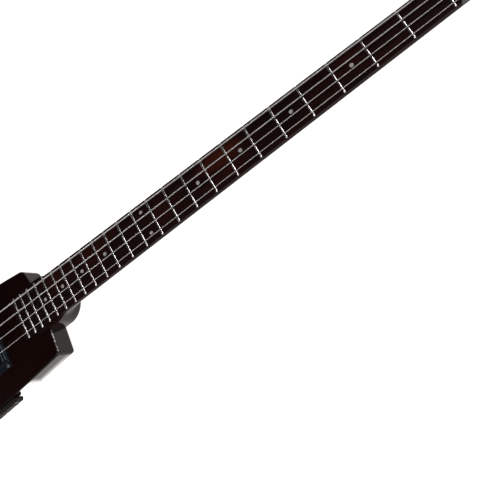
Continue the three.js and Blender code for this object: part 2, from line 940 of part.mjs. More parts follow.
// Pickups: a raised cover on a flange, with a hollow for the coils, and the coil block in it.
function pickupCoverSolid(x, screws) {
  const hollowHalf = pickupWidth / 2 - pickupWall;
  const raised = roundedRectangle(
    x - pickupWidth / 2,
    x + pickupWidth / 2,
    -pickupRaisedLength / 2,
    pickupRaisedLength / 2,
    pickupRaisedCorner,
  );
  return cut(
    join(
      plate(pickupPlan(x, 0), pickupBottom, pickupFlangeTop),
      plate(raised, pickupBottom, pickupTop, pickupEdge),
    ),
    block(
      x - hollowHalf,
      x + hollowHalf,
      -pickupHollowLength / 2,
      pickupHollowLength / 2,
      pickupBottom - overrun,
      pickupTop - pickupWall,
    ),
    ...screws.map((at) => screwHole(pickupScrew, at, towardFront)),
  );
}

function pickupCoreSolid(x) {
  const half = pickupWidth / 2 - pickupWall - seatGap;
  const top = pickupTop - pickupWall - seatGap;
  const long = pickupHollowLength / 2 - seatGap;
  return block(x - half, x + half, -long, long, top - pickupCoreHeight, top);
}

// Bridge base: a tray whose rear wall carries the tuner rods, with ribs between the jaws.
function bridgeBaseSolid() {
  const wallTop = bridgeZ + bridgeWallHeight;
  const rearFrontX = bridgeRearX + bridgeRearWall;
  const walls = [1, -1].map((side) => {
    const inner = side * (bridgeHalf - bridgeWall);
    const outer = side * bridgeHalf;
    return block(
      bridgeRearX,
      bridgeFrontX - 2 * bridgeScrewInset,
      Math.min(inner, outer),
      Math.max(inner, outer),
      bridgeZ,
      wallTop,
    );
  });
  const ribs = [];
  for (let i = 1; i < stringCount; i++) {
    const y = bridgeSpread / 2 - (i - 1 / 2) * bridgePitch;
    ribs.push(
      block(
        bridgeRearX,
        jawFrontX,
        y - bridgeRib / 2,
        y + bridgeRib / 2,
        bridgeZ,
        bridgeTop + bridgeRibHeight,
      ),
    );
  }
  const bores = stringNames.map((name, number) => {
    const y = stringY(number, bridgeSpread);
    return bar(
      point(bridgeRearX - overrun, y, jawZ),
      point(rearFrontX + overrun, y, jawZ),
      jawRodRadius + runningGap,
    );
  });
  return cut(
    join(
      block(bridgeRearX, bridgeFrontX, -bridgeHalf, bridgeHalf, bridgeZ, bridgeTop),
      block(
        bridgeRearX,
        rearFrontX,
        -bridgeHalf,
        bridgeHalf,
        bridgeZ,
        bridgeZ + bridgeRearHeight,
      ),
      ...walls,
      ...ribs,
    ),
    ...bores,
    ...bridgeScrewPlaces.map((at) => screwHole(bridgeScrew, at, towardFront)),
  );
}

// A saddle: a wedge with its crest under the string, and a groove in the crest.
function saddleSolid(number) {
  const { radius, saddle, jawBall } = stringPath(number);
  const bottom = bridgeTop + seatGap;
  const crest = saddle.z - radius - saddleClearance + saddleGroove;
  const profile = new THREE.Shape();
  profile.moveTo(saddleX - saddleBack, bottom);
  profile.lineTo(saddleX + saddleFront, bottom);
  profile.lineTo(saddleX + saddleFront, bottom + saddleFrontHeight);
  profile.quadraticCurveTo(saddleX + saddleFront / 2, crest, saddleX, crest);
  profile.quadraticCurveTo(
    saddleX - saddleBack / 2,
    crest,
    saddleX - saddleBack,
    bottom + saddleBackHeight,
  );
  const wedge = new THREE.ExtrudeGeometry(profile, {
    depth: saddleWidth,
    curveSegments: cornerSteps,
    bevelEnabled: false,
  });
  wedge.rotateX(Math.PI / 2);
  wedge.translate(0, saddle.y + saddleWidth / 2, 0);
  const half = radius + saddleClearance;
  return cut(
    solid(wedge),
    block(
      saddleX - saddleBack - overrun,
      saddleX + saddleFront + overrun,
      saddle.y - half,
      saddle.y + half,
      crest - saddleGroove,
      crest + overrun,
    ),
    bar(saddle, jawBall, half),
  );
}

// A jaw: a block with an open pocket for the ball end, and the rod that its knob pulls.
function jawSolid(number) {
  const { radius, jawBall } = stringPath(number);
  const y = jawBall.y;
  const bottom = bridgeTop + seatGap;
  const ball = ballDiameter / 2 + seatGap;
  const wide = ballLength / 2 + seatGap;
  const slot = radius + seatGap;
  const top = jawZ + jawLip;
  return join(
    cut(
      block(jawRearX, jawFrontX, y - jawWidth / 2, y + jawWidth / 2, bottom, top),
      block(
        jawBallX - ball - jawTravel,
        jawBallX + ball,
        y - wide,
        y + wide,
        jawZ - ball,
        top + overrun,
      ),
      block(jawBallX, jawFrontX + overrun, y - slot, y + slot, jawZ - slot, top + overrun),
    ),
    bar(
      point(bridgeRearX - jawRodReach, y, jawZ),
      point(jawRearX + jawRearGap, y, jawZ),
      jawRodRadius,
    ),
  );
}

// A tuner knob: it bears on the rear wall and turns on the jaw's rod.
function tunerSolid() {
  const bore = jawRodRadius + runningGap;
  return turned(
    [
      [bore, 0],
      [bore, -tunerLength],
      [tunerRadius - tunerEdge, -tunerLength],
      [tunerRadius, tunerEdge - tunerLength],
      [tunerRadius, -tunerCollarLength - tunerEdge],
      [tunerRadius - tunerEdge, -tunerCollarLength],
      [tunerCollarRadius, -tunerCollarLength],
      [tunerCollarRadius, 0],
      [bore, 0],
    ],
    fineSides,
  );
}

// A pot: its can under the cavity's roof, with the bushing through the front.
function potSolid() {
  const bore = shaftRadius + runningGap;
  const top = bodyThickness + bushingRise - cavityRoofZ;
  return turned([
    [bore, -potHeight],
    [potRadius, -potHeight],
    [potRadius, -seatGap],
    [bushingRadius, -seatGap],
    [bushingRadius, top],
    [bore, top],
    [bore, -potHeight],
  ]);
}

// A knob with the pot's shaft in it, turned about Z from the front face up.
function knobSolid() {
  const recessTop = knobStandoff + knobRecessDepth;
  const shaftBottom = -cavityRoof - potHeight + seatGap;
  return turned(
    [
      [0, shaftBottom],
      [shaftRadius, shaftBottom],
      [shaftRadius, recessTop],
      [knobRecessRadius, recessTop],
      [knobRecessRadius, knobStandoff],
      [knobRadius, knobStandoff],
      [knobRadius, knobHeight - knobEdge],
      [knobRadius - knobEdge, knobHeight],
      [0, knobHeight],
    ],
    fineSides,
  );
}

function jackSolid() {
  return turned(
    [
      [jackBore, -jackLength],
      [jackBarrelRadius, -jackLength],
      [jackBarrelRadius, 0],
      [jackFlangeRadius, 0],
      [jackFlangeRadius, jackFlange],
      [jackBore, jackFlange],
      [jackBore, -jackLength],
    ],
    fineSides,
  );
}

function coverSolid() {
  return cut(
    plate(cavityPlan(coverLedge - seatGap), coverInset, coverInset + coverThickness),
    ...coverScrewPlaces.map((at) => screwHole(coverScrew, at, towardBack, false)),
    ...coverScrewPlaces.map((at) =>
      bar(
        point(at.x, at.y, coverInset - overrun),
        point(at.x, at.y, coverInset + coverScrew.headHeight + seatGap),
        coverScrew.head + seatGap,
      ),
    ),
  );
}

// Strap button: a waisted spool with its screw head sunk in the outer end.
function buttonSolid() {
  const bore = buttonScrew.shank + seatGap;
  const sunk = buttonScrew.head + seatGap;
  const seat = buttonHeight - buttonScrew.headHeight - seatGap;
  return turned(
    [
      [bore, 0],
      [buttonBase, 0],
      [buttonWaist, buttonHeight / 2],
      [buttonRadius, buttonHeight - buttonRim],
      [buttonRadius, buttonHeight],
      [sunk, buttonHeight],
      [sunk, seat],
      [bore, seat],
      [bore, 0],
    ],
    fineSides,
  );
}

function buttonScrewTop(place, outward) {
  return place.clone().addScaledVector(outward, buttonHeight - seatGap);
}

// Leg rest, in its own frame
function restBracketSolid() {
  const half = restPlateLength / 2;
  const ears = [1, -1].flatMap((side) => {
    const low = Math.min(side * restEarZ, side * restOuterZ);
    const high = low + restEar;
    return [
      block(-restKnuckle, restKnuckle, restPinY, restPlateY + restPlate / 2, low, high),
      bar(point(0, restPinY, low), point(0, restPinY, high), restKnuckle, fineSides),
    ];
  });
  return cut(
    join(
      block(-half, half, restPlateY, restPlateY + restPlate, -restOuterZ, restOuterZ),
      ...ears,
    ),
    bar(
      point(0, restPinY, -restOuterZ - overrun),
      point(0, restPinY, restOuterZ + overrun),
      restPinRadius + seatGap,
    ),
    ...restScrewSeats.map((seat) => screwHole(restScrew, seat, towardTreble, true)),
  );
}

// The arm's plan: thin over the bracket's plate, then close to the body's side up to its tip.
function restArmPlan() {
  const stepX = restPlateLength / 2 + restPlateGap;
  const plan = new THREE.Shape();
  plan.moveTo(0, restPinY + restKnuckle);
  plan.lineTo(stepX, restPinY + restKnuckle);
  plan.lineTo(stepX, -restSideGap);
  plan.lineTo(restLength - restCorner, -restSideGap);
  plan.quadraticCurveTo(restLength, -restSideGap, restLength, -restSideGap - restCorner);
  plan.lineTo(restLength, restCorner - restProud);
  plan.quadraticCurveTo(restLength, -restProud, restLength - restCorner, -restProud);
  plan.lineTo(0, -restProud);
  return plan;
}

function restArmSolid() {
  const half = restHeight / 2;
  const tongue = restTongue / 2;
  const shoulder = restKnuckle + restShoulderGap;
  const beside = [1, -1].map((side) =>
    block(
      -restLength,
      shoulder,
      -restLength,
      restLength,
      side > 0 ? tongue : -half - overrun,
      side > 0 ? half + overrun : -tongue,
    ),
  );
  return cut(
    join(
      plate(restArmPlan(), -half, half),
      bar(point(0, restPinY, -half), point(0, restPinY, half), restKnuckle, fineSides),
    ),
    ...beside,
    bar(
      point(0, restPinY, -half - overrun),
      point(0, restPinY, half + overrun),
      restPinRadius + runningGap,
    ),
    restPadBlock(seatGap),
  );
}

function restPadBlock(grow) {
  const tipX = restLength - restPadTipInset;
  return block(
    tipX - restPadLength - grow,
    tipX + grow,
    -restProud - restPadProud - grow,
    -restProud + restPadDepth + grow,
    -restPadHeight / 2 - grow,
    restPadHeight / 2 + grow,
  );
}

function restPinSolid() {
  const headBase = restOuterZ + seatGap;
  return turned([
    [0, -restOuterZ],
    [restPinRadius, -restOuterZ],
    [restPinRadius, headBase],
    [restPinHead, headBase],
    [restPinHead, headBase + restPinHeadHeight],
    [0, headBase + restPinHeadHeight],
  ]);
}

// Body and neck
addPiece("body", bodySolid(), blackLacquer);
addPiece("neck", neckSolid(), neckLacquer);
addPiece("fretboard", fretboardSolid(), rosewood);
addPiece("truss_rod", trussRodSolid(), steel);
addPiece("truss_rod_nut", trussNutSolid(), brass);
boltPlaces.forEach((at, i) => {
  addPiece(`neck_bolt_${i + 1}`, screwSolid(neckBolt), blackMetal, at, towardBack);
});
addPiece("headpiece", headpieceSolid(), blackMetal);
headScrewPlaces.forEach((at, i) => {
  addPiece(`headpiece_screw_${i + 1}`, screwSolid(headScrew), blackMetal, at, towardHead);
});

// Strings, saddles, jaws and tuner knobs
addPiece("bridge_base", bridgeBaseSolid(), blackMetal);
bridgeScrewPlaces.forEach((at, i) => {
  addPiece(`bridge_screw_${i + 1}`, screwSolid(bridgeScrew), blackMetal, at);
});
stringNames.forEach((name, number) => {
  const knobPlace = point(bridgeRearX - seatGap, stringY(number, bridgeSpread), jawZ);
  addPiece(`string_${name}`, stringSolid(number), stringSteel);
  addPiece(`saddle_${name}`, saddleSolid(number), blackMetal);
  addPiece(`jaw_${name}`, jawSolid(number), steel);
  addPiece(`tuner_knob_${name}`, tunerSolid(), blackMetal, knobPlace, towardHead);
});

// Pickups
[neckPickupX, bridgePickupX].forEach((x, i) => {
  const name = ["neck_pickup", "bridge_pickup"][i];
  const screws = pickupScrewPlaces.slice(2 * i, 2 * i + 2);
  addPiece(`${name}_cover`, pickupCoverSolid(x, screws), blackPlastic);
  addPiece(`${name}_core`, pickupCoreSolid(x), coilDark);
  screws.forEach((at, j) => {
    addPiece(`${name}_screw_${j + 1}`, screwSolid(pickupScrew), steel, at);
  });
});

// Controls, wiring and the back cover
potPlaces.forEach((x, i) => {
  addPiece(`pot_${i + 1}`, potSolid(), steel, point(x, potY, cavityRoofZ));
  addPiece(`control_knob_${i + 1}`, knobSolid(), blackPlastic, point(x, potY, bodyThickness));
});
addPiece("output_jack", jackSolid(), steel, jackPlace, towardTail);
addPiece("wiring", join(runs(mainLead, leadRadius), runs(bridgeLead, leadRadius)), insulation);
addPiece("control_cover", coverSolid(), blackPlastic);
coverScrewPlaces.forEach((at, i) => {
  addPiece(`cover_screw_${i + 1}`, screwSolid(coverScrew), blackMetal, at, towardBack);
});

// Strap buttons
addPiece("front_strap_button", buttonSolid(), blackMetal, frontButtonPlace, buttonOutward);
addPiece("rear_strap_button", buttonSolid(), blackMetal, rearButtonPlace, towardTail);
[
  ["front_strap_screw", frontButtonPlace, buttonOutward],
  ["rear_strap_screw", rearButtonPlace, towardTail],
].forEach(([name, place, outward]) => {
  addPiece(name, screwSolid(buttonScrew), steel, buttonScrewTop(place, outward), outward);
});

// Leg rest
bass.add(restFrame);
const here = point(0, 0, 0);
addPiece("leg_rest_bracket", restBracketSolid(), blackMetal, here, towardFront, restFrame);
addPiece("leg_rest_arm", restArmSolid(), blackMetal, here, towardFront, restFrame);
addPiece("leg_rest_pad", restPadBlock(0), rubber, here, towardFront, restFrame);
addPiece("leg_rest_pin", restPinSolid(), steel, point(0, restPinY, 0), towardFront, restFrame);
restScrewSeats.forEach((seat, i) => {
  const name = `leg_rest_screw_${i + 1}`;
  addPiece(name, screwSolid(restScrew), steel, seat, towardTreble, restFrame);
});

export default bass;
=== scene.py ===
# Electric bass guitar without a headstock: the finished look of every piece.
# Sizes are in millimetres. +X runs to the head end, +Y to the bass side and +Z out of the front.
import contextlib
import math
import types

import bmesh
import bpy
import numpy as np
from mathutils import Matrix, Vector


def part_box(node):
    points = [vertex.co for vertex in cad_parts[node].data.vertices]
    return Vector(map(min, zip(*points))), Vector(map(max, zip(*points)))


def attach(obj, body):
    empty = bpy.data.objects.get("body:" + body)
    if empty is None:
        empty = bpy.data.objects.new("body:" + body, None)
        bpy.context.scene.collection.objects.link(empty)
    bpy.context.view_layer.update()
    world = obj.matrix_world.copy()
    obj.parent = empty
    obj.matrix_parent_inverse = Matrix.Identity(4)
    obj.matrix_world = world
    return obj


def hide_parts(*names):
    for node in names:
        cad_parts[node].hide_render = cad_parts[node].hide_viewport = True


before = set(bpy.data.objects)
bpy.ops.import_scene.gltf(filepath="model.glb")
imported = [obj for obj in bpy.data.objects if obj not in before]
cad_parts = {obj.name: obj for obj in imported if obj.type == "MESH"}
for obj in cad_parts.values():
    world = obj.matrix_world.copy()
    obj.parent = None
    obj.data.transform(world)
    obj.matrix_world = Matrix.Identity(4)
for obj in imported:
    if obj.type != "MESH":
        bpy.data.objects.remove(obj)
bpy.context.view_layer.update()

MM = 0.001
FRONT = (0, 0, 1)
TAIL = (-1, 0, 0)
BASS = (0, 1, 0)


def box(node):
    """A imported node's lowest and highest corners in millimetres."""
    low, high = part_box(node)
    return np.array(low) / MM, np.array(high) / MM


def middle_of(node):
    return sum(box(node)) / 2


# Fits
seat_gap = 0.3
running_gap = 0.4
overrun = 2.0
weld_distance = 0.002

# Edges: the angle from which they are rounded, and how much sharper one has to be to stay crisp
edge_angle = 32.0
edge_segments = 3
flat_angle = 1.0
crisp_margin = 10.0

# Scale, fretboard and neck
scale_length = 863.6
octave_steps = 12
fret_count = 24
nut_width = 38.1
last_fret_width = 61.0
board_past_zero_fret = 6.0
board_thickness = 6.0
board_radius = 508.0
board_edge = 0.5
fret_width = 2.8
fret_height = 1.1
zero_fret_height = 1.4
fret_end_inset = 0.4
fret_end_round = 1.3
fret_least_taper = 0.12
dot_radius = 2.5
dot_proud = 0.03
dot_depth = 1.5
dot_spread = 29.8
side_dot_radius = 1.0
side_dot_shift = 2.0
dot_frets = [3, 5, 7, 9, 15, 17, 19, 21]
double_dot_fret = 12
neck_depth_at_nut = 15.0
neck_depth_at_heel = 17.0
neck_roundness = 2.2
heel_length = 42.5
heel_depth = 34.0
heel_spread = 5.0
heel_nose = 30.0
heel_squareness = 16
heel_blend = 14
heel_flare_length = 26.0
heel_flare_depth = 10.0
tenon_depth = 22.0
truss_width = 6.0
truss_depth = 9.0
truss_key_radius = 3.4
truss_nut_radius = 4.0
truss_nut_length = 12.0
truss_nut_inset = 2.0
truss_tail_inset = 30.0

# Body
front_edge = 2.0
back_edge = 8.0
least_corner = 5.5
shoulder_sweep = 3.0
treble_shoulder = 70.0
treble_tail = 98.0
treble_flare = 0.125
treble_corner = 6.0
bass_shoulder = 59.5
bass_tail = 90.0
bass_flare = 0.138
bass_corner = 9.0
tail_corner = 26.0
notch_margin = 7.0
notch_floor = 15.0
notch_drop = 2.0
notch_bend = 10.0

# Strings
string_names = ["e", "a", "d", "g"]
string_diameters = [2.6, 2.0, 1.5, 1.1]
nut_spread = 29.4
bridge_spread = 53.0
crown_gap = 0.2
saddle_string_rise = 4.2
string_bend = 1.2
ball_radius = 2.5
ball_length = 5.0
ball_hole = 1.0
head_ball_drop = 2.0
head_ball_inset = 7.0
end_wrap = 0.3
end_wrap_length = 9.0
end_wrap_taper = 1.5
winding_pitch = 0.45
# The direction that the strings' lit face turns to; the flanks turned away from it get painted shade.
lit_side = (0.0, -0.5, 0.866)

# Headpiece
headpiece_edge = 2.0
headpiece_lip = 0.4
pocket_corner = 0.8

# Pickups
pickup_width = 32.0
pickup_flange_length = 6.5
pickup_flange_drop = 2.4
pickup_corner = 6.0
pickup_raised_corner = 2.5
pickup_raised_inset = 0.22
pickup_edge = 1.0
pickup_flange_edge = 0.5
pickup_wall = 2.0
pickup_hollow_inset = 12.0
pickup_rib_pitch = 5.0
pickup_rib_inset = 3.5
pickup_rib_radius = 0.6
pickup_rib_end = 5.0
rib_end_growth = 40
rib_end_start = 0.04

# Bridge, jaws, saddles and tuner knobs
saddle_front = 7.0
saddle_back = 9.0
saddle_width = 15.0
saddle_front_height = 5.0
saddle_back_height = 3.0
saddle_clearance = 0.6
saddle_edge = 0.35
height_screw_radius = 1.5
height_screw_reach = 3.4
height_screw_spread = 10.4
jaw_rise = 8.0
jaw_rod_radius = 2.0
tuner_radius = 8.0
tuner_length = 22.0
tuner_collar_radius = 5.5
tuner_collar_length = 3.0
tuner_edge = 1.0
tuner_teeth = 44
tuner_tooth_depth = 0.45
groove_shape = 0.7

# Controls
cavity_roof = 6.0
cavity_corner = 8.0
cover_ledge = 6.0
cover_thickness = 2.0
cover_inset = 0.3
cover_edge = 0.5
pot_radius = 8.0
pot_height = 9.0
bushing_radius = 4.6
shaft_radius = 3.0
knob_radius = 9.5
knob_height = 17.0
knob_standoff = 0.8
knob_recess_radius = 6.5
knob_recess_depth = 4.0
knob_flutes = 30
knob_flute_depth = 0.35
knob_line_width = 1.2
knob_line_depth = 0.9

# Output jack and strap buttons
jack_bore = 3.4
jack_barrel_radius = 4.8
jack_length = 26.0
jack_flange_radius = 8.0
jack_flange = 2.5
wire_hole_radius = 3.0
button_radius = 7.5
button_waist = 4.2
button_base = 6.5
button_height = 12.0
button_rim = 3.0

# Leg rest
rest_tip_x = 61.0
rest_length = 131.0
rest_height = 16.0
rest_tongue = 8.8
rest_z = 26.6
rest_proud = 8.0
rest_side_gap = 0.6
rest_corner = 3.6
rest_edge = 2.2
rest_plate = 2.2
rest_plate_length = 34.0
rest_plate_gap = 0.5
rest_ear = 3.0
rest_knuckle = 4.2
rest_shoulder_gap = 0.6
rest_pin_radius = 1.6
rest_pin_head = 2.8
rest_pin_head_height = 1.0
rest_pad_length = 92.0
rest_pad_height = 9.0
rest_pad_tip_inset = 10.0
rest_pad_proud = 0.6
rest_pad_depth = 1.5
rest_rib_pitch = 4.0
rest_rib_radius = 0.9
rest_rib_shape = 0.8

# Screws: head radius, head height, shank radius, length from the top of the head, recess
screw_kinds = {
    "neck_bolt": (4.5, 3.0, 2.5, 31.0, "hex"),
    "headpiece_screw": (3.4, 3.0, 1.8, 52.0, "hex"),
    "pickup_screw": (2.6, 1.8, 1.4, 30.0, "cross"),
    "bridge_screw": (3.2, 2.0, 1.8, 24.0, "cross"),
    "cover_screw": (2.2, 1.2, 1.2, 11.0, "cross"),
    "strap_screw": (3.6, 2.0, 1.9, 34.0, "cross"),
    "rest_screw": (2.6, 1.6, 1.5, 13.0, "hex"),
}
thread_pitch = 1.3
thread_depth_share = 0.22

# Steps of round work
round_sides = 48
small_sides = 24
string_sides = 12
side_steps = 60
corner_steps = 14
edge_rows = 8
back_rows = 12
heel_stations = 26
flare_stations = 14
neck_stations = 24
neck_rays = 120
headpiece_rays = 48
board_stations = 40
board_columns = 28
string_stations = 40
fret_points = 41
fret_sides = 16
rib_points = 33
rib_sides = 12
crest_steps = 10
waist_steps = 8
rest_steps = 8
fine_rows = 6
small_rows = 4
cover_rows = 3

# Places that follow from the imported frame
body_low, body_high = box("body")
board_low, board_high = box("fretboard")
head_low, head_high = box("headpiece")
shoulder_x = body_high[0]
tail_x = body_low[0]
body_length = shoulder_x - tail_x
body_top = body_high[2]
board_tail_x = board_low[0]
board_head_x = board_high[0]
zero_fret_x = board_head_x - board_past_zero_fret
board_bottom = box("neck")[1][2]
board_top = board_bottom + board_thickness
saddle_x = zero_fret_x - scale_length
last_fret_x = zero_fret_x - scale_length * (1 - 2 ** (-fret_count / octave_steps))
heel_x = shoulder_x + heel_length
nose_x = heel_x - heel_nose
tenon_bottom = board_bottom - tenon_depth
jaw_z = body_top + jaw_rise
head_ball_x = head_high[0] - head_ball_inset
head_ball_z = board_top - head_ball_drop
truss_z = board_bottom - truss_depth / 2


def board_half(x):
    """Half the fretboard's width at a place along it."""
    along = (zero_fret_x - x) / (zero_fret_x - last_fret_x)
    return (nut_width + (last_fret_width - nut_width) * along) / 2


def board_camber(y):
    """Height of the cambered fretboard at a distance from its centre line."""
    return board_top - board_radius + math.sqrt(board_radius**2 - y**2)


def fret_x(number):
    return zero_fret_x - scale_length * (1 - 2 ** (-number / octave_steps))


def dot_x(number):
    return (fret_x(number) + fret_x(number - 1)) / 2


def string_y(number, spread):
    return spread / 2 - number * spread / (len(string_names) - 1)


def side_distance(x, shoulder, tail, flare):
    """How far one of the body's flared sides is from the centre line."""
    along = shoulder_x - x
    bend = (shoulder + flare * body_length - tail) / body_length**2
    return shoulder + flare * along - bend * along**2


def treble_y(x):
    return -side_distance(x, treble_shoulder, treble_tail, treble_flare)


def bass_y(x):
    return side_distance(x, bass_shoulder, bass_tail, bass_flare)


# Node graphs: sums are written as Python sums on their sockets
def sum_of(operation, swapped=False):
    """A method that makes a node of a sum of two values."""

    def method(self, other):
        return self.graph.maths(operation, *((other, self) if swapped else (self, other)))

    return method


class Value:
    """The output of a node, ready to be used in sums."""

    def __init__(self, graph, socket):
        self.graph = graph
        self.socket = socket

    __add__ = sum_of("ADD")
    __radd__ = sum_of("ADD", swapped=True)
    __sub__ = sum_of("SUBTRACT")
    __rsub__ = sum_of("SUBTRACT", swapped=True)
    __mul__ = sum_of("MULTIPLY")
    __rmul__ = sum_of("MULTIPLY", swapped=True)
    __truediv__ = sum_of("DIVIDE")
    __rtruediv__ = sum_of("DIVIDE", swapped=True)
    __pow__ = sum_of("POWER")
    __rpow__ = sum_of("POWER", swapped=True)
    __gt__ = sum_of("GREATER_THAN")


class Graph:
    """A node tree whose nodes all come from one method."""

    def __init__(self, tree):
        self.tree = tree

    def node(self, kind, sockets=(), output=0, **settings):
        made = self.tree.nodes.new(kind)
        for name, setting in settings.items():
            setattr(made, name, setting)
        for name, value in dict(sockets).items():
            self.feed(made.inputs[name], value)
        return Value(self, made.outputs[output])

    def feed(self, socket, value):
        if isinstance(value, Value):
            self.tree.links.new(value.socket, socket)
        else:
            socket.default_value = value

    def maths(self, operation, *values):
        return self.node("ShaderNodeMath", enumerate(values), operation=operation)

    def spread(self, value, low, high, to_low=0.0, to_high=1.0):
        """A value's range mapped to another, and held at its ends."""
        return self.node("ShaderNodeMapRange", enumerate((value, low, high, to_low, to_high)), clamp=True)

    def joined(self, x, y, z):
        return self.node("ShaderNodeCombineXYZ", enumerate((x, y, z)))

    def parts(self, vector):
        split = self.node("ShaderNodeSeparateXYZ", {0: vector}).socket.node
        return [Value(self, socket) for socket in split.outputs]

    def shape(self, kind, sockets=(), **settings):
        return self.node("GeometryNode" + kind, sockets, **settings)


class Paint(Graph):
    """One procedural finish: a shader and what varies over the surface."""

    def __init__(self, name):
        self.material = bpy.data.materials.new(name)
        self.material.use_nodes = True
        super().__init__(self.material.node_tree)
        self.place = self.node("ShaderNodeTexCoord", output="Object")

    def stretched(self, scale):
        """Object coordinates scaled to repeats per metre, alike or by axis."""
        scales = scale if isinstance(scale, tuple) else (scale, scale, scale)
        return self.node("ShaderNodeMapping", {"Vector": self.place, "Scale": scales})

    def noise(self, scale, detail=3.0, roughness=0.55, warp=0.0):
        sockets = {"Vector": self.stretched(scale), "Scale": 1.0, "Detail": detail}
        sockets |= {"Roughness": roughness, "Distortion": warp}
        return self.node("ShaderNodeTexNoise", sockets, noise_dimensions="3D")

    def patches(self, scale, low, high, detail=3.0):
        """Soft patches from 0 to 1, where a noise goes from low to high."""
        return self.spread(self.noise(scale, detail), low, high)

    def cells(self, scale, feature="F1"):
        sockets = {"Vector": self.stretched(scale), "Scale": 1.0}
        return self.node("ShaderNodeTexVoronoi", sockets, feature=feature)

    def blend(self, share, first, second):
        """A colour that goes from the first to the second."""
        sockets = {0: share, 6: colour(first), 7: colour(second)}
        return self.node("ShaderNodeMix", sockets, 2, data_type="RGBA", clamp_factor=True)

    def bump(self, height, depth, under=None):
        """A bump of the given depth in metres, on top of another one."""
        sockets = {"Height": height, "Strength": 1.0, "Distance": depth}
        if under is not None:
            sockets["Normal"] = under
        return self.node("ShaderNodeBump", sockets)

    def finish(self, **sockets):
        shader = self.tree.nodes["Principled BSDF"]
        for name, value in sockets.items():
            self.feed(shader.inputs[name.replace("_", " ")], value)
        return self.material


def colour(value):
    return value if isinstance(value, Value) else (*value, 1.0)


# Finishes
def lacquer():
    """Polished black lacquer, with a painted highlight in pale dots along the treble shoulder's front
    edge.
    """
    paint = Paint("body_lacquer")
    haze = paint.patches((30, 42, 30), 0.45, 0.75)
    scratch_a = paint.noise((90, 2600, 2600), 1.0, warp=0.4)
    scratch_b = paint.noise((2200, 120, 2200), 1.0, warp=0.6)
    scratch = (scratch_a > 0.735) * 0.6 + (scratch_b > 0.75) * 0.4
    speck = paint.spread(paint.cells(520), 0.0, 0.055, 1.0, 0.0)
    dust = speck * paint.patches(60, 0.55, 0.7)
    cloud = paint.patches(14, 0.35, 0.7, 4.0)
    shade = paint.blend(cloud, (0.0042, 0.0012, 0.0011), (0.0078, 0.0026, 0.0018))
    dusty = paint.blend(dust * 0.3, shade, (0.12, 0.1, 0.09))
    # Painted highlight: a pale dotted line along the treble shoulder's front edge, where the lamps'
    # highlight on the rounded edge falls.
    x, y, z = paint.parts(paint.place)
    across = 0 - y / MM
    flat = board_half(shoulder_x) + heel_spread
    swept = paint.spread(across, flat, treble_shoulder - treble_corner, 0.0, shoulder_sweep)
    off_edge = shoulder_x + body_top - swept - (x + z) / MM
    on_edge = paint.spread(off_edge, 1.2, 1.7, 1.0, 0.0) * paint.spread(across, flat, flat + 2)
    edge_highlight = on_edge * paint.spread(paint.noise((300, 420, 300), 1.0), 0.44, 0.56, 0.1, 1.0)
    peel = paint.bump(paint.noise(420, 2.0), 0.00001)
    return paint.finish(
        Base_Color=paint.blend(edge_highlight, dusty, (0.6, 0.57, 0.55)),
        Roughness=0.06 + haze * 0.08 + scratch * 0.1 + dust * 0.3 + edge_highlight * 0.3,
        Normal=paint.bump(scratch, 0.000004, under=peel),
        IOR=1.27,
    )


def neck_finish():
    """A satin neck whose heel is polished: worn smoother where the hand runs."""
    paint = Paint("neck_lacquer")
    x, _, _ = paint.parts(paint.place)
    polished = paint.spread(x, heel_x * MM, (shoulder_x + 90) * MM, 1.0, 0.0)
    cloud = paint.patches((11, 45, 45), 0.35, 0.7, 4.0)
    fibre = paint.noise((40, 1500, 1500), warp=0.2)
    worn = paint.patches((5, 30, 30), 0.4, 0.7)
    shade = paint.blend(cloud, (0.0065, 0.003, 0.0026), (0.014, 0.006, 0.005))
    return paint.finish(
        Base_Color=paint.blend(paint.spread(fibre, 0.5, 0.75) * 0.5, shade, (0.02, 0.009, 0.007)),
        Roughness=0.42 - polished * 0.25 - worn * 0.1,
        Normal=paint.bump(fibre, 0.000006),
        Coat_Weight=0.05 + polished * 0.37,
        Specular_IOR_Level=0.02,
        Coat_Roughness=0.08,
    )


def board_wood():
    """Oiled dark rosewood: streaks and open pores along the board, redder in patches."""
    paint = Paint("fretboard_wood")
    drift = paint.noise((9, 70, 70), 4.0, warp=0.6)
    streak = paint.noise((26, 900, 900), 6.0, 0.65, 0.35)
    open_pore = paint.spread(paint.noise((150, 3600, 3600), 2.0, 0.4, 0.2), 0.62, 0.7)
    patch = paint.patches((17, 30, 30), 0.5, 0.72, 1.0)
    x, y, _ = paint.parts(paint.place)
    off_x = (x - 0.478) / 0.03
    off_y = (y - 0.01) / 0.011
    heart = paint.spread(off_x * off_x + off_y * off_y, 0.3, 1.6, 1.0, 0.0)
    dark = paint.blend(paint.spread(drift, 0.3, 0.7), (0.0055, 0.0018, 0.0015), (0.014, 0.004, 0.0034))
    warm = paint.blend(patch * 0.25 + heart * 0.75, dark, (0.05, 0.0085, 0.004))
    grain = paint.blend(paint.spread(streak, 0.42, 0.66) * 0.85, warm, (0.0035, 0.0016, 0.0016))
    return paint.finish(
        Base_Color=paint.blend(open_pore * 0.8, grain, (0.0022, 0.0012, 0.001)),
        Roughness=0.42 + paint.spread(streak, 0.3, 0.8) * 0.16 + open_pore * 0.2,
        Normal=paint.bump(1 - open_pore, 0.00009, under=paint.bump(streak, 0.00004)),
        Specular_IOR_Level=0.03,
    )


def plated(name, base, worn, rough, lines, depth=0.000006):
    """Plated metal with fine polishing lines along one direction and duller patches."""
    paint = Paint(name)
    line = paint.noise(lines, 2.0, 0.7)
    dull = paint.patches(160, 0.45, 0.7, 4.0)
    speck = paint.spread(paint.cells(900), 0.0, 0.12, 1.0, 0.0)
    return paint.finish(
        Base_Color=paint.blend(speck * 0.2, paint.blend(dull * 0.6, base, worn), worn),
        Metallic=1.0,
        Roughness=rough + paint.spread(line, 0.3, 0.7) * 0.12 + dull * 0.12 + speck * 0.1,
        Normal=paint.bump(line, depth),
    )


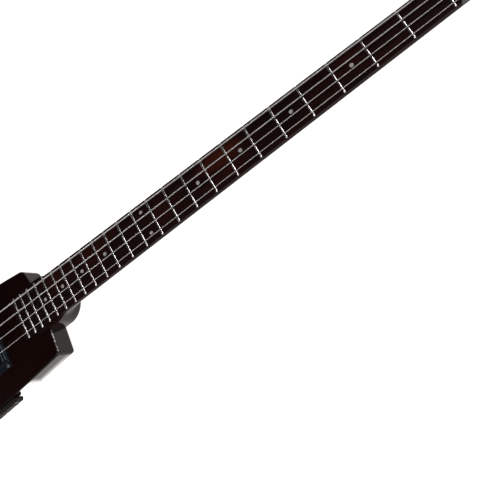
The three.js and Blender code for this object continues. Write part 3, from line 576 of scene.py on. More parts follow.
def dark_metal(name, base, rough, metallic, shine):
    """Black anodised metal: a fine blasted grain, rubbed brighter in soft patches."""
    paint = Paint(name)
    blast = paint.noise(3200, 2.0)
    rub = paint.patches(75, 0.5, 0.75, 5.0)
    nick = paint.noise((260, 1900, 1900), 1.0, warp=0.8) > 0.76
    shade = paint.blend(rub * 0.45, base, (0.035, 0.033, 0.033))
    return paint.finish(
        Base_Color=paint.blend(nick * 0.35, shade, (0.12, 0.115, 0.11)),
        Metallic=metallic,
        Roughness=rough - rub * 0.07 + blast * 0.08,
        Normal=paint.bump(blast, 0.000014),
        Specular_IOR_Level=shine,
    )


def moulded(name, base, rough, grain, depth, shine=0.5):
    """Moulded plastic or rubber with a fine texture and a little dust in it."""
    paint = Paint(name)
    flow = paint.noise(35, 4.0)
    dust = paint.patches(700, 0.6, 0.75)
    lighter = tuple(part * 1.8 + 0.004 for part in base)
    shade = paint.blend(paint.spread(flow, 0.35, 0.7), base, lighter)
    return paint.finish(
        Base_Color=paint.blend(dust * 0.12, shade, (0.15, 0.145, 0.14)),
        Roughness=rough + paint.spread(flow, 0.3, 0.7) * 0.1 + dust * 0.1,
        Normal=paint.bump(paint.cells(grain, "SMOOTH_F1"), depth),
        Specular_IOR_Level=shine,
    )


def wound_wire():
    """Round-wound string: painted shade in the grooves between its turns, and painted shade with some
    grime on the flanks that face away from the lit side.
    """
    paint = Paint("string_wire")
    x, _, _ = paint.parts(paint.place)
    turn = paint.maths("SINE", x * (2 * math.pi / (winding_pitch * MM)))
    # Painted shade: the base colour darkens in the grooves between the turns.
    groove = paint.spread(turn, -0.9, 0.2, 1.0, 0.0)
    tarnish = paint.patches(22, 0.4, 0.75, 5.0)
    lit_facing = paint.node("ShaderNodeAttribute", output=2, attribute_name="lit_facing")
    # Painted shade with some grime: the flanks that face away from the lit side turn dark and dull.
    flank_shade_and_grime = paint.spread(lit_facing, 0.72, 0.93, 1.0, 0.0)
    clean = paint.blend(tarnish * 0.4, (0.74, 0.69, 0.67), (0.5, 0.42, 0.39))
    shade = paint.blend(flank_shade_and_grime, clean, (0.05, 0.042, 0.038))
    return paint.finish(
        Base_Color=paint.blend(groove * 0.55, shade, (0.16, 0.13, 0.12)),
        Metallic=1 - flank_shade_and_grime * 0.9,
        Roughness=0.22 + tarnish * 0.14 + groove * 0.15 + flank_shade_and_grime * 0.3,
        Normal=paint.bump(turn, 0.00008),
        Specular_IOR_Level=0.15,
    )


def shell_inlay():
    """Pearl-like plastic: soft folded bands with a faint blue and pink cast."""
    paint = Paint("pearl_dot")
    fold = paint.noise((520, 340, 520), warp=1.6)
    cast = paint.noise((300, 420, 300), 2.0, warp=0.8)
    cool = paint.blend(paint.spread(cast, 0.35, 0.65), (0.2, 0.19, 0.19), (0.26, 0.22, 0.21))
    return paint.finish(
        Base_Color=paint.blend(paint.spread(fold, 0.3, 0.7), cool, (0.34, 0.32, 0.31)),
        Roughness=0.2 + paint.spread(fold, 0.3, 0.7) * 0.15,
        Normal=paint.bump(fold, 0.00001),
        Coat_Weight=0.3,
    )


def coil_block():
    """Potted pickup coil: wax-coloured tape bands over a dark block."""
    paint = Paint("coil")
    _, _, z = paint.parts(paint.place)
    band = paint.maths("SINE", z * (2 * math.pi / (1.4 * MM)))
    wax = paint.noise(180, 4.0)
    shade = paint.blend(paint.spread(wax, 0.35, 0.7), (0.02, 0.016, 0.013), (0.07, 0.055, 0.04))
    return paint.finish(
        Base_Color=paint.blend(paint.spread(band, 0.2, 0.9) * 0.4, shade, (0.12, 0.08, 0.045)),
        Roughness=0.5 + wax * 0.2,
        Normal=paint.bump(band, 0.00005),
    )


finishes = {
    "body_lacquer": lacquer(), "neck_lacquer": neck_finish(), "fretboard_wood": board_wood(),
    "string_wire": wound_wire(), "pearl_dot": shell_inlay(), "coil": coil_block(),
}
recipes = {
    dark_metal: {
        "black_metal": ((0.012, 0.012, 0.013), 0.4, 0.15, 0.2),
        "rest_metal": ((0.0105, 0.0085, 0.007), 0.6, 0.0, 0.06),
    },
    plated: {
        "steel": ((0.68, 0.65, 0.62), (0.5, 0.45, 0.41), 0.2, (200, 2600, 2600)),
        "dull_steel": ((0.2, 0.19, 0.19), (0.1, 0.09, 0.09), 0.32, (900, 900, 2600)),
        "fret_metal": ((0.74, 0.7, 0.68), (0.6, 0.54, 0.5), 0.12, (2600, 120, 2600), 0.0000008),
        "brass": ((0.62, 0.43, 0.17), (0.4, 0.26, 0.11), 0.28, (2200, 300, 2200)),
    },
    moulded: {
        "black_plastic": ((0.0075, 0.0075, 0.009), 0.3, 1500, 0.00001),
        "rubber": ((0.012, 0.0105, 0.0095), 0.68, 900, 0.00004, 0.12),
        # Black pickup plastic whose dark blue colour is a painted reflection.
        "pickup_plastic": ((0.001, 0.0022, 0.0055), 0.24, 1500, 0.000002, 0.25),
        # A paler blue-grey that paints the ribs' highlight strokes.
        "pickup_rib": ((0.05, 0.066, 0.09), 0.2, 1500, 0.000006),
        "insulation": ((0.02, 0.02, 0.022), 0.5, 700, 0.00001),
        "indicator": ((0.5, 0.5, 0.48), 0.5, 1200, 0.00001),
    },
}
for recipe, looks in recipes.items():
    for title, look in looks.items():
        finishes[title] = recipe(title, *look)


# Forms: corner points in millimetres and the faces between them
class Form:
    def __init__(self, points=(), faces=()):
        self.points = np.array(points, float).reshape(-1, 3)
        self.faces = [list(face) for face in faces]

    def __add__(self, other):
        shift = len(self.points)
        moved = [[corner + shift for corner in face] for face in other.faces]
        return Form(np.vstack([self.points, other.points]), self.faces + moved)

    def placed(self, origin, outward=FRONT, turn=0.0):
        """Turned about Z, then with its Z along outward, then moved to the origin."""
        spin = Matrix.Rotation(turn, 3, "Z")
        aim = Vector(FRONT).rotation_difference(Vector(outward)).to_matrix()
        return Form(self.points @ np.array(aim @ spin).T + np.array(origin, float), self.faces)

    def moved(self, matrix):
        """Moved by a 4 by 4 matrix."""
        whole = np.array(matrix)
        return Form(self.points @ whole[:3, :3].T + whole[:3, 3], self.faces)


def loft(rings, closed=False):
    """A skin through rings of equal counts, capped at both ends unless it closes on itself."""
    count = len(rings[0])
    points = np.concatenate([np.array(ring, float) for ring in rings])
    faces = []
    for row in range(len(rings) if closed else len(rings) - 1):
        here = row * count
        there = (row + 1) % len(rings) * count
        for i in range(count):
            j = (i + 1) % count
            faces.append([here + i, here + j, there + j, there + i])
    if not closed:
        faces.append(list(range(count))[::-1])
        faces.append([(len(rings) - 1) * count + i for i in range(count)])
    return Form(points, faces)


def turned(profile, sides=round_sides, teeth=0, depth=0.0, toothed=()):
    """Points of (radius, height) turned about Z; the rows named in toothed are fluted."""
    ends_meet = profile[0] == profile[-1]
    rings = []
    for row, (radius, height) in enumerate(profile[:-1] if ends_meet else profile):
        ring = []
        for i in range(sides):
            angle = 2 * math.pi * i / sides
            dip = depth * (0.5 - 0.5 * math.cos(teeth * angle)) ** groove_shape if row in toothed else 0.0
            reach = max(radius - dip, 0.0)
            ring.append((reach * math.cos(angle), reach * math.sin(angle), height))
        rings.append(ring)
    return loft(rings, closed=ends_meet)


def stacked(levels):
    """A skin through outlines in plan at their heights."""
    return loft([[(x, y, z) for x, y in outline] for outline, z in levels])


def prism(outline, low, high):
    return stacked([(outline, low), (outline, high)])


def block(x0, x1, y0, y1, z0, z1):
    return prism([(x0, y0), (x1, y0), (x1, y1), (x0, y1)], z0, z1)


def slice_of(profile, y0, y1):
    """A side view's outline made into a block."""
    return loft([[(x, y, z) for x, z in profile] for y in (y0, y1)])


def bar(start, end, radius, sides=small_sides):
    run = Vector(end) - Vector(start)
    return turned([(radius, 0.0), (radius, run.length)], sides).placed(start, run.normalized())


def long_bar(x0, x1, y, z, radius, sides=small_sides):
    return bar((x0, y, z), (x1, y, z), radius, sides)


def quarter(steps, first=0):
    """Steps of a rounded edge: the shares of its radius that lie inward and down."""
    angles = [math.pi / 2 * i / steps for i in range(first, steps + 1)]
    return [(1 - math.cos(angle), 1 - math.sin(angle)) for angle in angles]


def rounded_top(plan, top, edge, steps, inset=0.0):
    """Levels of a rounded upper edge: plan gives the outline drawn in by an amount."""
    return [(plan(edge * inward + inset), top - edge * down) for inward, down in quarter(steps)]


def rounded_plan(x0, x1, y0, y1, radius, steps=8):
    """A rounded rectangle's outline."""
    outline = []
    left, right, low, high = x0 + radius, x1 - radius, y0 + radius, y1 - radius
    for turn, (x, y) in enumerate([(right, high), (left, high), (left, low), (right, low)]):
        for i in range(steps + 1):
            angle = math.pi / 2 * (turn + i / steps)
            outline.append((x + radius * math.cos(angle), y + radius * math.sin(angle)))
    return outline


def plan_of(node, inset, corner):
    """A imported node's outline from the front, drawn in, with rounded corners."""
    low, high = box(node)
    return rounded_plan(low[0] + inset, high[0] - inset, low[1] + inset, high[1] - inset, corner)


def between(start, end, steps):
    """Even steps from start to end, without start."""
    return [start + (end - start) * i / steps for i in range(1, steps + 1)]


def bent(start, corner, end, steps):
    """Points of a curve from start to end that is drawn towards the corner, without start."""
    start, corner, end = (np.array(point, float) for point in (start, corner, end))
    curve = [(1 - s) ** 2 * start + 2 * s * (1 - s) * corner + s**2 * end for s in between(0, 1, steps)]
    return [tuple(point) for point in curve]


def tube(path, radius):
    """A round wire along a path that hardly bends."""
    angles = [2 * math.pi * side / string_sides for side in range(string_sides)]
    circle = [(math.cos(angle), math.sin(angle)) for angle in angles]
    last = len(path) - 1
    rings = []
    for i, point in enumerate(path):
        along = (path[min(i + 1, last)] - path[max(i - 1, 0)]).normalized()
        up = along.cross(Vector(BASS)).normalized()
        across = up.cross(along).normalized()
        rings.append([point + across * (radius * c) + up * (radius * s) for c, s in circle])
    return loft(rings)


# Pieces
@contextlib.contextmanager
def edited(mesh):
    """A mesh open for editing, which is written back at the end."""
    made = bmesh.new()
    made.from_mesh(mesh)
    yield made
    made.to_mesh(mesh)
    made.free()


def weld(made):
    bmesh.ops.remove_doubles(made, verts=made.verts, dist=weld_distance * MM)


def linked(name, data):
    """A new object in the scene."""
    made = bpy.data.objects.new(name, data)
    bpy.context.scene.collection.objects.link(made)
    return made


def loose(form, name):
    """An object of a form, without a finish or a body."""
    mesh = bpy.data.meshes.new(name)
    mesh.from_pydata([tuple(point * MM) for point in form.points], [], form.faces)
    with edited(mesh) as made:
        weld(made)
        bmesh.ops.dissolve_degenerate(made, edges=made.edges, dist=weld_distance * MM)
        bmesh.ops.recalc_face_normals(made, faces=made.faces)
    return linked(name, mesh)


def settle(piece):
    """Turns what a piece's modifiers make into its plain mesh."""
    bpy.context.view_layer.update()
    graph = bpy.context.evaluated_depsgraph_get()
    made = bpy.data.meshes.new_from_object(piece.evaluated_get(graph))
    piece.modifiers.clear()
    piece.data = made


def combine(piece, operation, forms):
    """Joins each form to the piece, or takes each one away from it."""
    for form in forms:
        tool = loose(form, "tool")
        change = piece.modifiers.new("combine", "BOOLEAN")
        change.operation = operation
        change.solver = "EXACT"
        change.object = tool
        settle(piece)
        bpy.data.objects.remove(tool)


def smooth(piece, edge=0.0, angle=edge_angle, steps=edge_segments):
    """Rounds the sharp edges a little and shades the curved faces smoothly."""
    if edge:
        with edited(piece.data) as made:
            flat = math.radians(flat_angle)
            bmesh.ops.dissolve_limit(made, angle_limit=flat, verts=made.verts, edges=made.edges)
        bevel = piece.modifiers.new("edge", "BEVEL")
        bevel.width = edge * MM
        bevel.segments = steps
        bevel.limit_method = "ANGLE"
        bevel.angle_limit = math.radians(angle)
        bevel.use_clamp_overlap = True
    settle(piece)
    mesh = piece.data
    mesh.polygons.foreach_set("use_smooth", [True] * len(mesh.polygons))
    mesh.set_sharp_from_angle(angle=math.radians(angle + crisp_margin))
    weigh = piece.modifiers.new("shade", "WEIGHTED_NORMAL")
    weigh.keep_sharp = True
    settle(piece)


def declare(piece, finish, body="instrument", replaces=()):
    """Gives a piece its finish, the body that it rides on and the nodes that it stands for."""
    piece.data.materials.clear()
    piece.data.materials.append(finishes[finish])
    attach(piece, body)
    if replaces:
        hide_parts(*replaces)
    return piece


def add(name, form, finish, body="instrument", replaces=(), slot=None, cuts=(), parts=(), **edges):
    """One finished piece of the instrument."""
    piece = loose(form, name)
    combine(piece, "UNION", parts)
    combine(piece, "DIFFERENCE", cuts)
    smooth(piece, **edges)
    return declare(piece, finish, body, replaces)


def machined(name, node, finish, body="instrument", edge=0.4):
    """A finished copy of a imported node, with its edges broken."""
    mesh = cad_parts[node].data.copy()
    mesh.name = name
    with edited(mesh) as made:
        weld(made)
    piece = linked(name, mesh)
    smooth(piece, edge=edge, angle=40.0)
    return declare(piece, finish, body, [node])


def axis_of(node):
    """Where a screw's head is and which way it faces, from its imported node."""
    corners = np.array([v.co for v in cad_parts[node].data.vertices]) / MM
    centre = (corners.min(0) + corners.max(0)) / 2
    along = np.linalg.svd(corners - corners.mean(0), full_matrices=False)[2][0]
    reach = (corners - centre) @ along
    away = np.linalg.norm(corners - centre - np.outer(reach, along), axis=1)
    end_share = 0.7
    face_depth = 0.05
    low_end = reach < reach.min() * end_share
    high_end = reach > reach.max() * end_share
    if away[low_end].max() > away[high_end].max():
        along = -along
        reach = -reach
    return corners[reach > reach.max() - face_depth].mean(0), along


# Node trees for what repeats
input_kinds = {"first": "Int", "count": "Int", "finish": "Material"}
input_kinds |= {"start": "Vector", "step": "Vector", "reach": "Vector"}


def tree_inputs(name, *titles):
    """A geometry tree with named inputs: its graph and their values."""
    tree = bpy.data.node_groups.new(name, "GeometryNodeTree")
    tree.interface.new_socket(name="Geometry", in_out="OUTPUT", socket_type="NodeSocketGeometry")
    for title in titles:
        kind = "NodeSocket" + input_kinds.get(title, "Float")
        tree.interface.new_socket(name=title, in_out="INPUT", socket_type=kind)
    graph = Graph(tree)
    start = tree.nodes.new("NodeGroupInput")
    values = {title: Value(graph, start.outputs[title]) for title in titles}
    return graph, types.SimpleNamespace(**values)


def tree_end(graph, geometry, finish):
    """Ends a tree in plain meshes with their finish."""
    real = graph.shape("RealizeInstances", {0: geometry})
    soft = graph.shape("SetShadeSmooth", {"Geometry": real})
    painted = graph.shape("SetMaterial", {"Geometry": soft, "Material": finish})
    end = graph.tree.nodes.new("NodeGroupOutput")
    graph.feed(end.inputs[0], painted)


def circle(graph, sides, radius):
    return graph.shape("CurvePrimitiveCircle", {"Resolution": sides, "Radius": radius}, mode="RADIUS")


def skinned(graph, curve, profile, taper):
    """A skin around a curve, thinner where the taper falls."""
    sized = graph.shape("SetCurveRadius", {"Curve": curve, "Radius": taper})
    skin = {"Curve": sized, "Profile Curve": profile, "Scale": taper, "Fill Caps": True}
    return graph.shape("CurveToMesh", skin)


def grow(name, graph, **values):
    """The plain mesh that a tree makes with these inputs."""
    piece = linked(name, bpy.data.meshes.new(name))
    change = piece.modifiers.new("grow", "NODES")
    change.node_group = graph.tree
    for item in graph.tree.interface.items_tree:
        if item.in_out == "INPUT":
            change[item.identifier] = values[item.name]
    settle(piece)
    return piece


def fret_tree():
    """Frets at the places of an equal-tempered scale, crowned and bent to the camber."""
    graph, size = tree_inputs(
        "frets", "first", "count", "zero_place", "scale", "steps", "half_at_zero", "widening",
        "end_inset", "end_round", "width", "height", "board_top", "board_radius", "finish",
    )
    points = graph.shape("MeshLine", {"Count": size.count, "Offset": (0, 0, 0)}, mode="OFFSET")
    fret = graph.shape("InputIndex") + size.first
    back = size.scale * (1 - 2.0 ** (0 - fret / size.steps))
    half = size.half_at_zero + size.widening * back - size.end_inset
    at = graph.joined(size.zero_place - back, 0.0, 0.0)
    placed = graph.shape("SetPosition", {"Geometry": points, "Position": at})
    line = graph.shape("CurvePrimitiveLine", {"Start": (0, -1, 0), "End": (0, 1, 0)})
    fine = graph.shape("ResampleCurve", {"Curve": line, "Count": fret_points})
    stretch = graph.joined(1.0, half, 1.0)
    lines = graph.shape("InstanceOnPoints", {"Points": placed, "Instance": fine, "Scale": stretch})
    real = graph.shape("RealizeInstances", {0: lines})

    # The points move towards the ends, where the crown falls, and up to the camber
    x, y, _ = graph.parts(graph.shape("InputPosition"))
    widened = size.half_at_zero + size.widening * (size.zero_place - x)
    local_half = widened - size.end_inset
    share = y / local_half
    out = 1 - graph.maths("ABSOLUTE", share)
    side = graph.maths("SIGN", share) * (1 - out * out) * local_half
    rise = graph.maths("SQRT", size.board_radius * size.board_radius - side * side)
    at = graph.joined(x, side, size.board_top - size.board_radius + rise)
    bent_lines = graph.shape("SetPosition", {"Geometry": real, "Position": at})
    _, across, _ = graph.parts(graph.shape("InputPosition"))
    left = local_half - graph.maths("ABSOLUTE", across)
    fall = 1 - graph.maths("MINIMUM", left / size.end_round, 1.0)
    taper = graph.maths("MAXIMUM", graph.maths("SQRT", 1 - fall * fall), fret_least_taper)

    section = graph.joined(size.width * 0.5, size.height, 1.0)
    crown = graph.shape("Transform", {"Geometry": circle(graph, fret_sides, 1.0), "Scale": section})
    tree_end(graph, skinned(graph, bent_lines, crown, taper), size.finish)
    return graph


def rib_tree():
    """Equal round ribs side by side along X."""
    graph, size = tree_inputs("ribs", "count", "start", "step", "reach", "radius", "finish")
    row = {"Count": size.count, "Start Location": size.start, "Offset": size.step}
    points = graph.shape("MeshLine", row, mode="OFFSET")
    line = graph.shape("CurvePrimitiveLine", {"End": size.reach})
    fine = graph.shape("ResampleCurve", {"Curve": line, "Count": rib_points})
    out = 1 - graph.maths("ABSOLUTE", graph.shape("SplineParameter") * 2 - 1)
    taper = graph.maths("SQRT", out * rib_end_growth + rib_end_start)
    taper = graph.maths("MINIMUM", taper, 1.0)
    rib = skinned(graph, fine, circle(graph, rib_sides, size.radius), taper)
    ribs = graph.shape("InstanceOnPoints", {"Points": points, "Instance": rib})
    tree_end(graph, ribs, size.finish)
    return graph


# Camera, floor and lights
def camera():
    lens = bpy.data.cameras.new("camera")
    lens.lens = 41.392
    lens.sensor_width = 36.0
    lens.clip_start = 0.01
    holder = linked("camera", lens)
    holder.location = (0.6405, -0.2864, 0.6423)
    holder.rotation_euler = [math.radians(turn) for turn in (5.1135, 22.7724, -31.4642)]
    bpy.context.scene.camera = holder


floor_size = 18.0
floor_drop = 0.5


def light_floor():
    """A pale floor lit from below, as a light table, and brighter along the treble side."""
    half = floor_size / 2
    corners = [(-half, -half), (half, -half), (half, half), (-half, half)]
    mesh = bpy.data.meshes.new("floor")
    mesh.from_pydata([(x, y, -floor_drop * MM) for x, y in corners], [], [[0, 1, 2, 3]])
    paint = Paint("floor_paper")
    x, y, _ = paint.parts(paint.place)
    x = x / MM
    beyond = 0 - y / MM - side_distance(x, treble_shoulder, treble_tail, treble_flare)
    beside = paint.spread(x, -205, -175) * paint.spread(x, 128, 158, 1.0, 0.0)
    reach = paint.spread(x, 54, 82, 18.0, 0.0)
    near = paint.spread(beyond, -4, 0) * paint.spread(beyond - reach, 1.5, 9, 1.0, 0.0)
    paper = paint.finish(
        Base_Color=(0.3, 0.3, 0.3, 1.0),
        Roughness=0.9,
        Emission_Color=paint.blend(beside * near, (0.137, 0.131, 0.1255), (1.0, 0.98, 0.95)),
        Emission_Strength=8.0,
    )
    mesh.materials.append(paper)
    linked("floor", mesh)


def soft_box(name, place, aim, size, radiance):
    """A rectangular lamp of a given brightness."""
    lamp = bpy.data.lights.new(name, "AREA")
    lamp.shape = "RECTANGLE"
    lamp.size, lamp.size_y = size
    lamp.energy = radiance * math.pi * size[0] * size[1]
    holder = linked(name, lamp)
    holder.location = place
    facing = Vector(place) - Vector(aim)
    holder.rotation_euler = facing.to_track_quat("Z", "Y").to_euler()


def studio():
    """Soft boxes above and at both ends, in a dim room that is dark above the bass side."""
    soft_box("over", (0.05, -0.6, 1.3), (0.35, 0.0, 0.03), (1.5, 0.8), 4.2)
    soft_box("key", (1.32, 0.33, 0.92), (0.3, 0.0, 0.03), (0.5, 0.3), 11.0)
    soft_box("tail_end", (-1.35, -0.35, 0.7), (0.0, 0.0, 0.02), (0.9, 0.6), 2.0)
    soft_box("bass_side", (0.3, 1.9, 0.45), (0.3, 0.0, 0.02), (1.8, 0.5), 0.8)

    world = bpy.data.worlds.new("studio")
    bpy.context.scene.world = world
    world.use_nodes = True
    room = Graph(world.node_tree)
    x, y, up = room.parts(room.node("ShaderNodeTexCoord", output="Generated"))
    horizon = room.spread(up, 0.07, 0.2, 1.0, 0.2)
    across = (x + 0.22) / 0.55
    along = (y - 0.38) / 0.22
    flag = room.spread(across * across + along * along, 0.8, 2.0, 0.05, 1.0)
    background = world.node_tree.nodes["Background"]
    background.inputs["Color"].default_value = (0.86, 0.94, 1.0, 1.0)
    room.feed(background.inputs["Strength"], horizon * flag)
    bpy.context.scene.view_settings.view_transform = "Standard"


# Body
def side_outline(side, sign, corner, inset):
    """Half of the body's outline in plan, drawn in, from the neck to the middle of the tail."""
    end_x = shoulder_x - inset
    corner_x = end_x - shoulder_sweep
    rear_x = tail_x + inset
    corner_room = sign * max(corner - inset, least_corner)
    tail_room = sign * (tail_corner - inset)
    start = corner_x - abs(corner_room)
    end = rear_x + abs(tail_room)

    def edge(x, back=0.0):
        return x, side(x) - sign * inset - back

    front = edge(corner_x, corner_room)
    rear = edge(end)
    return [
        (end_x, sign * (board_half(shoulder_x) + heel_spread - inset)),
        front, *bent(front, edge(corner_x), edge(start), corner_steps),
        *[edge(x) for x in between(start, end, side_steps)[:-1]],
        rear, *bent(rear, edge(rear_x), edge(rear_x, tail_room), corner_steps),
    ]


def body_outline(inset):
    treble = side_outline(treble_y, -1, treble_corner, inset)
    bass = side_outline(bass_y, 1, bass_corner, inset)
    return treble + bass[::-1]


def slab():
    """The body without its cuts: a small round on the front edge, a large one on the back."""
    front = [(front_edge * down, body_top - front_edge * inward) for inward, down in quarter(edge_rows)]
    back = [(back_edge * inward, back_edge * down) for inward, down in quarter(back_rows)]
    return stacked([(body_outline(inset), z) for inset, z in front + back])


def tail_notch():
    """The scoop behind the bridge that gives the fingers room at the tuner knobs."""
    half = bridge_spread / 2 + tuner_radius + notch_margin
    front_x = box("bridge_base")[0][0]
    top = body_top + overrun
    bend = (front_x, notch_floor + notch_bend)
    floor_start = (front_x - notch_bend, notch_floor)
    profile = [(front_x, top), bend, *bent(bend, (front_x, notch_floor), floor_start, corner_steps)]
    profile += [(tail_x - overrun, notch_floor - notch_drop), (tail_x - overrun, top)]
    return slice_of(profile, -half, half)


def tenon_plan(gap, head_x):
    tail = board_tail_x - gap
    tail_half = board_half(board_tail_x) + gap
    head_half = board_half(head_x) + gap
    return [(tail, -tail_half), (head_x, -head_half), (head_x, head_half), (tail, tail_half)]


def screw_sizes(node):
    return next(sizes for kind, sizes in screw_kinds.items() if kind in node)


def screw_holes(name, count, sunk=False):
    """Clearance for screws, and for their heads where they are sunk."""
    holes = []
    for i in range(1, count + 1):
        node = f"{name}_{i}"
        head, head_height, shank, length, _ = screw_sizes(node)
        top, outward = axis_of(node)
        above = top + outward * overrun
        holes.append(bar(top - outward * (length + seat_gap), above, shank + seat_gap))
        if sunk:
            seat = top - outward * (head_height + seat_gap)
            holes.append(bar(seat, above, head + seat_gap, round_sides))
    return holes


def body():
    cuts = [
        tail_notch(),
        prism(tenon_plan(seat_gap, shoulder_x + overrun), tenon_bottom - seat_gap, body_top + overrun),
    ]
    for node in ("neck_pickup_cover", "bridge_pickup_cover"):
        plan = plan_of(node, -seat_gap, pickup_corner + seat_gap)
        cuts.append(prism(plan, box(node)[0][2] - seat_gap, body_top + overrun))
    inner = cover_ledge - seat_gap
    cavity = plan_of("control_cover", inner, cavity_corner)
    ledge = plan_of("control_cover", -seat_gap, cavity_corner + cover_ledge)
    cuts.append(prism(cavity, -overrun, body_top - cavity_roof))
    cuts.append(prism(ledge, -overrun, cover_inset + cover_thickness + seat_gap))
    for number in (1, 2, 3):
        x, y, _ = middle_of(f"pot_{number}")
        under = (x, y, body_top - cavity_roof - overrun)
        cuts.append(bar(under, (x, y, body_top + overrun), bushing_radius + seat_gap, round_sides))
    _, y, z = middle_of("output_jack")
    jack_end = tail_x + jack_length
    cavity_end = box("control_cover")[0][0] + inner + overrun
    jack_radius = jack_barrel_radius + seat_gap
    cuts.append(long_bar(tail_x - overrun, jack_end + overrun, y, z, jack_radius, round_sides))
    cuts.append(long_bar(jack_end, cavity_end, y, z, wire_hole_radius))
    cuts += screw_holes("neck_bolt", 4, sunk=True)
    add("body_slab", slab(), "body_lacquer", replaces=["body"], cuts=cuts)


# Neck
def neck_ring(x):
    """The neck's section: a round back that flares and blends into the squarer heel."""
    to_nut = (x - shoulder_x) / (zero_fret_x - shoulder_x)
    plain = neck_depth_at_heel + (neck_depth_at_nut - neck_depth_at_heel) * to_nut
    flare = min(max((heel_x + heel_flare_length - x) / heel_flare_length, 0.0), 1.0)
    depth = plain + heel_flare_depth * flare**3
    half = board_half(x)
    past = max((x - nose_x) / heel_nose, 0.0)
    heel_half = (board_half(shoulder_x) + heel_spread) * math.sqrt(max(1 - past**2, 0.0))
    ring = []
    for i in range(neck_rays + 1):
        angle = math.pi * i / neck_rays
        side = abs(math.cos(angle))
        down = abs(math.sin(angle))
        back = (side / half) ** neck_roundness + (down / depth) ** neck_roundness
        reach = back ** (-1 / neck_roundness)
        if heel_half > 0.01:
            square = (side / heel_half) ** heel_squareness + (down / heel_depth) ** heel_squareness
            square = square ** (-1 / heel_squareness)
            reach = (reach**heel_blend + square**heel_blend) ** (1 / heel_blend)
        ring.append((x, reach * math.cos(angle), board_bottom - reach * math.sin(angle)))
    return ring


def neck():
    flare_end = heel_x + heel_flare_length
    stations = [shoulder_x + seat_gap, (shoulder_x + nose_x) / 2]
    turns = [0.0, *between(0.0, math.pi / 2, heel_stations)]
    stations += [nose_x + heel_nose * math.sin(turn) for turn in turns]
    stations += between(heel_x, flare_end, flare_stations)
    stations += between(flare_end, board_head_x, neck_stations)
    nut_end_x = board_head_x - truss_nut_inset - truss_nut_length - seat_gap
    past_head = board_head_x + overrun
    truss_half = truss_width / 2 + seat_gap
    channel = block(
        board_tail_x + truss_tail_inset - seat_gap, past_head, -truss_half, truss_half,
        board_bottom - truss_depth - seat_gap, board_bottom + overrun,
    )
    nut_bore = long_bar(nut_end_x, past_head, 0, truss_z, truss_nut_radius + seat_gap)
    add(
        "neck_blank", loft([neck_ring(x) for x in stations]), "neck_lacquer", replaces=["neck"],
        parts=[prism(tenon_plan(0.0, nose_x), tenon_bottom, board_bottom)],
        cuts=[channel, nut_bore, *screw_holes("neck_bolt", 4)],
    )


# Fretboard, frets and dots
def board_ring(x):
    """The fretboard's section: a flat bottom, rounded upper edges and a cambered top."""
    bottom = board_bottom + seat_gap
    half = board_half(x)
    inner = half - board_edge
    side_top = board_camber(half)
    edge = []
    for inward, down in quarter(small_rows):
        edge.append((half - board_edge * inward, side_top - board_edge * down))
    tops = between(inner, -inner, board_columns)[:-1]
    section = [(-half, bottom), (half, bottom), *edge, *[(y, board_camber(y)) for y in tops]]
    section += [(-y, z) for y, z in reversed(edge)]
    return [(x, y, z) for y, z in section]


def fretboard():
    places = [board_tail_x, *between(board_tail_x, board_head_x, board_stations)]
    board = loft([board_ring(x) for x in places])
    add("fretboard_blank", board, "fretboard_wood", replaces=["fretboard"])


def frets():
    """The zero fret and the frets, two runs of one node tree."""
    tree = fret_tree()
    lengths = {
        "zero_place": zero_fret_x, "scale": scale_length, "half_at_zero": nut_width / 2,
        "end_inset": fret_end_inset, "end_round": fret_end_round, "width": fret_width,
        "board_top": board_top, "board_radius": board_radius,
    }
    lengths = {title: length * MM for title, length in lengths.items()}
    widening = (last_fret_width - nut_width) / 2 / (zero_fret_x - last_fret_x)
    rows = (("zero_fret", 0, 1, zero_fret_height), ("frets", 1, fret_count, fret_height))
    for name, first, count, height in rows:
        made = grow(
            name, tree, first=first, count=count, steps=float(octave_steps), widening=widening,
            height=height * MM, finish=finishes["fret_metal"], **lengths,
        )
        declare(made, "fret_metal")


def dots():
    """Inlaid dots in the fretboard's face and in its bass side."""
    places = [(dot_x(number), 0.0) for number in dot_frets]
    places += [(dot_x(double_dot_fret), side * dot_spread / 2) for side in (-1, 1)]
    profile = [
        (dot_radius, -dot_depth), (dot_radius, -0.06), (dot_radius - 0.06, 0.0),
        (dot_radius * 0.5, dot_proud * 0.6), (0.0, dot_proud),
    ]
    face_dots = Form()
    for x, y in places:
        face_dots += turned(profile, small_sides).placed((x, y, board_camber(y) + dot_proud))
    add("fret_dots", face_dots, "pearl_dot", slot="black_plastic")

    profile = [(0.0, -dot_depth), (side_dot_radius, -dot_depth), (side_dot_radius, 0.0), (0.0, dot_proud)]
    side_dots = Form()
    for number in sorted([*dot_frets, double_dot_fret]):
        for shift in (-side_dot_shift, side_dot_shift) if number == double_dot_fret else (0.0,):
            x = dot_x(number) + shift
            at = (x, board_half(x) + dot_proud, board_top - board_thickness / 2)
            side_dots += turned(profile, small_sides).placed(at, BASS)
    add("side_dots", side_dots, "pearl_dot", slot="black_plastic")


# Strings
def ball_end(centre):
    """A small turned barrel that holds the end of a string, across the string."""
    reach = ball_length / 2
    waist = ball_radius * 0.86
    rim = ball_radius - 0.3
    profile = [
        (ball_hole, -reach), (rim, -reach), (ball_radius, 0.3 - reach), (ball_radius, -reach * 0.45),
        (waist, -reach * 0.25), (waist, reach * 0.25), (ball_radius, reach * 0.45),
        (ball_radius, reach - 0.3), (rim, reach), (ball_hole, reach), (ball_hole, -reach),
    ]
    return turned(profile, small_sides).placed(centre, BASS)


def toward(start, end, reach):
    return start + (end - start).normalized() * reach


def saddle_points(number):
    """Where a string crosses its saddle, and where its ball sits in its jaw."""
    y = string_y(number, bridge_spread)
    radius = string_diameters[number] / 2
    low, _ = box(f"string_{string_names[number]}")
    crossing = Vector((saddle_x, y, board_top + saddle_string_rise + radius))
    return crossing, Vector((low[0] + ball_radius, y, jaw_z))


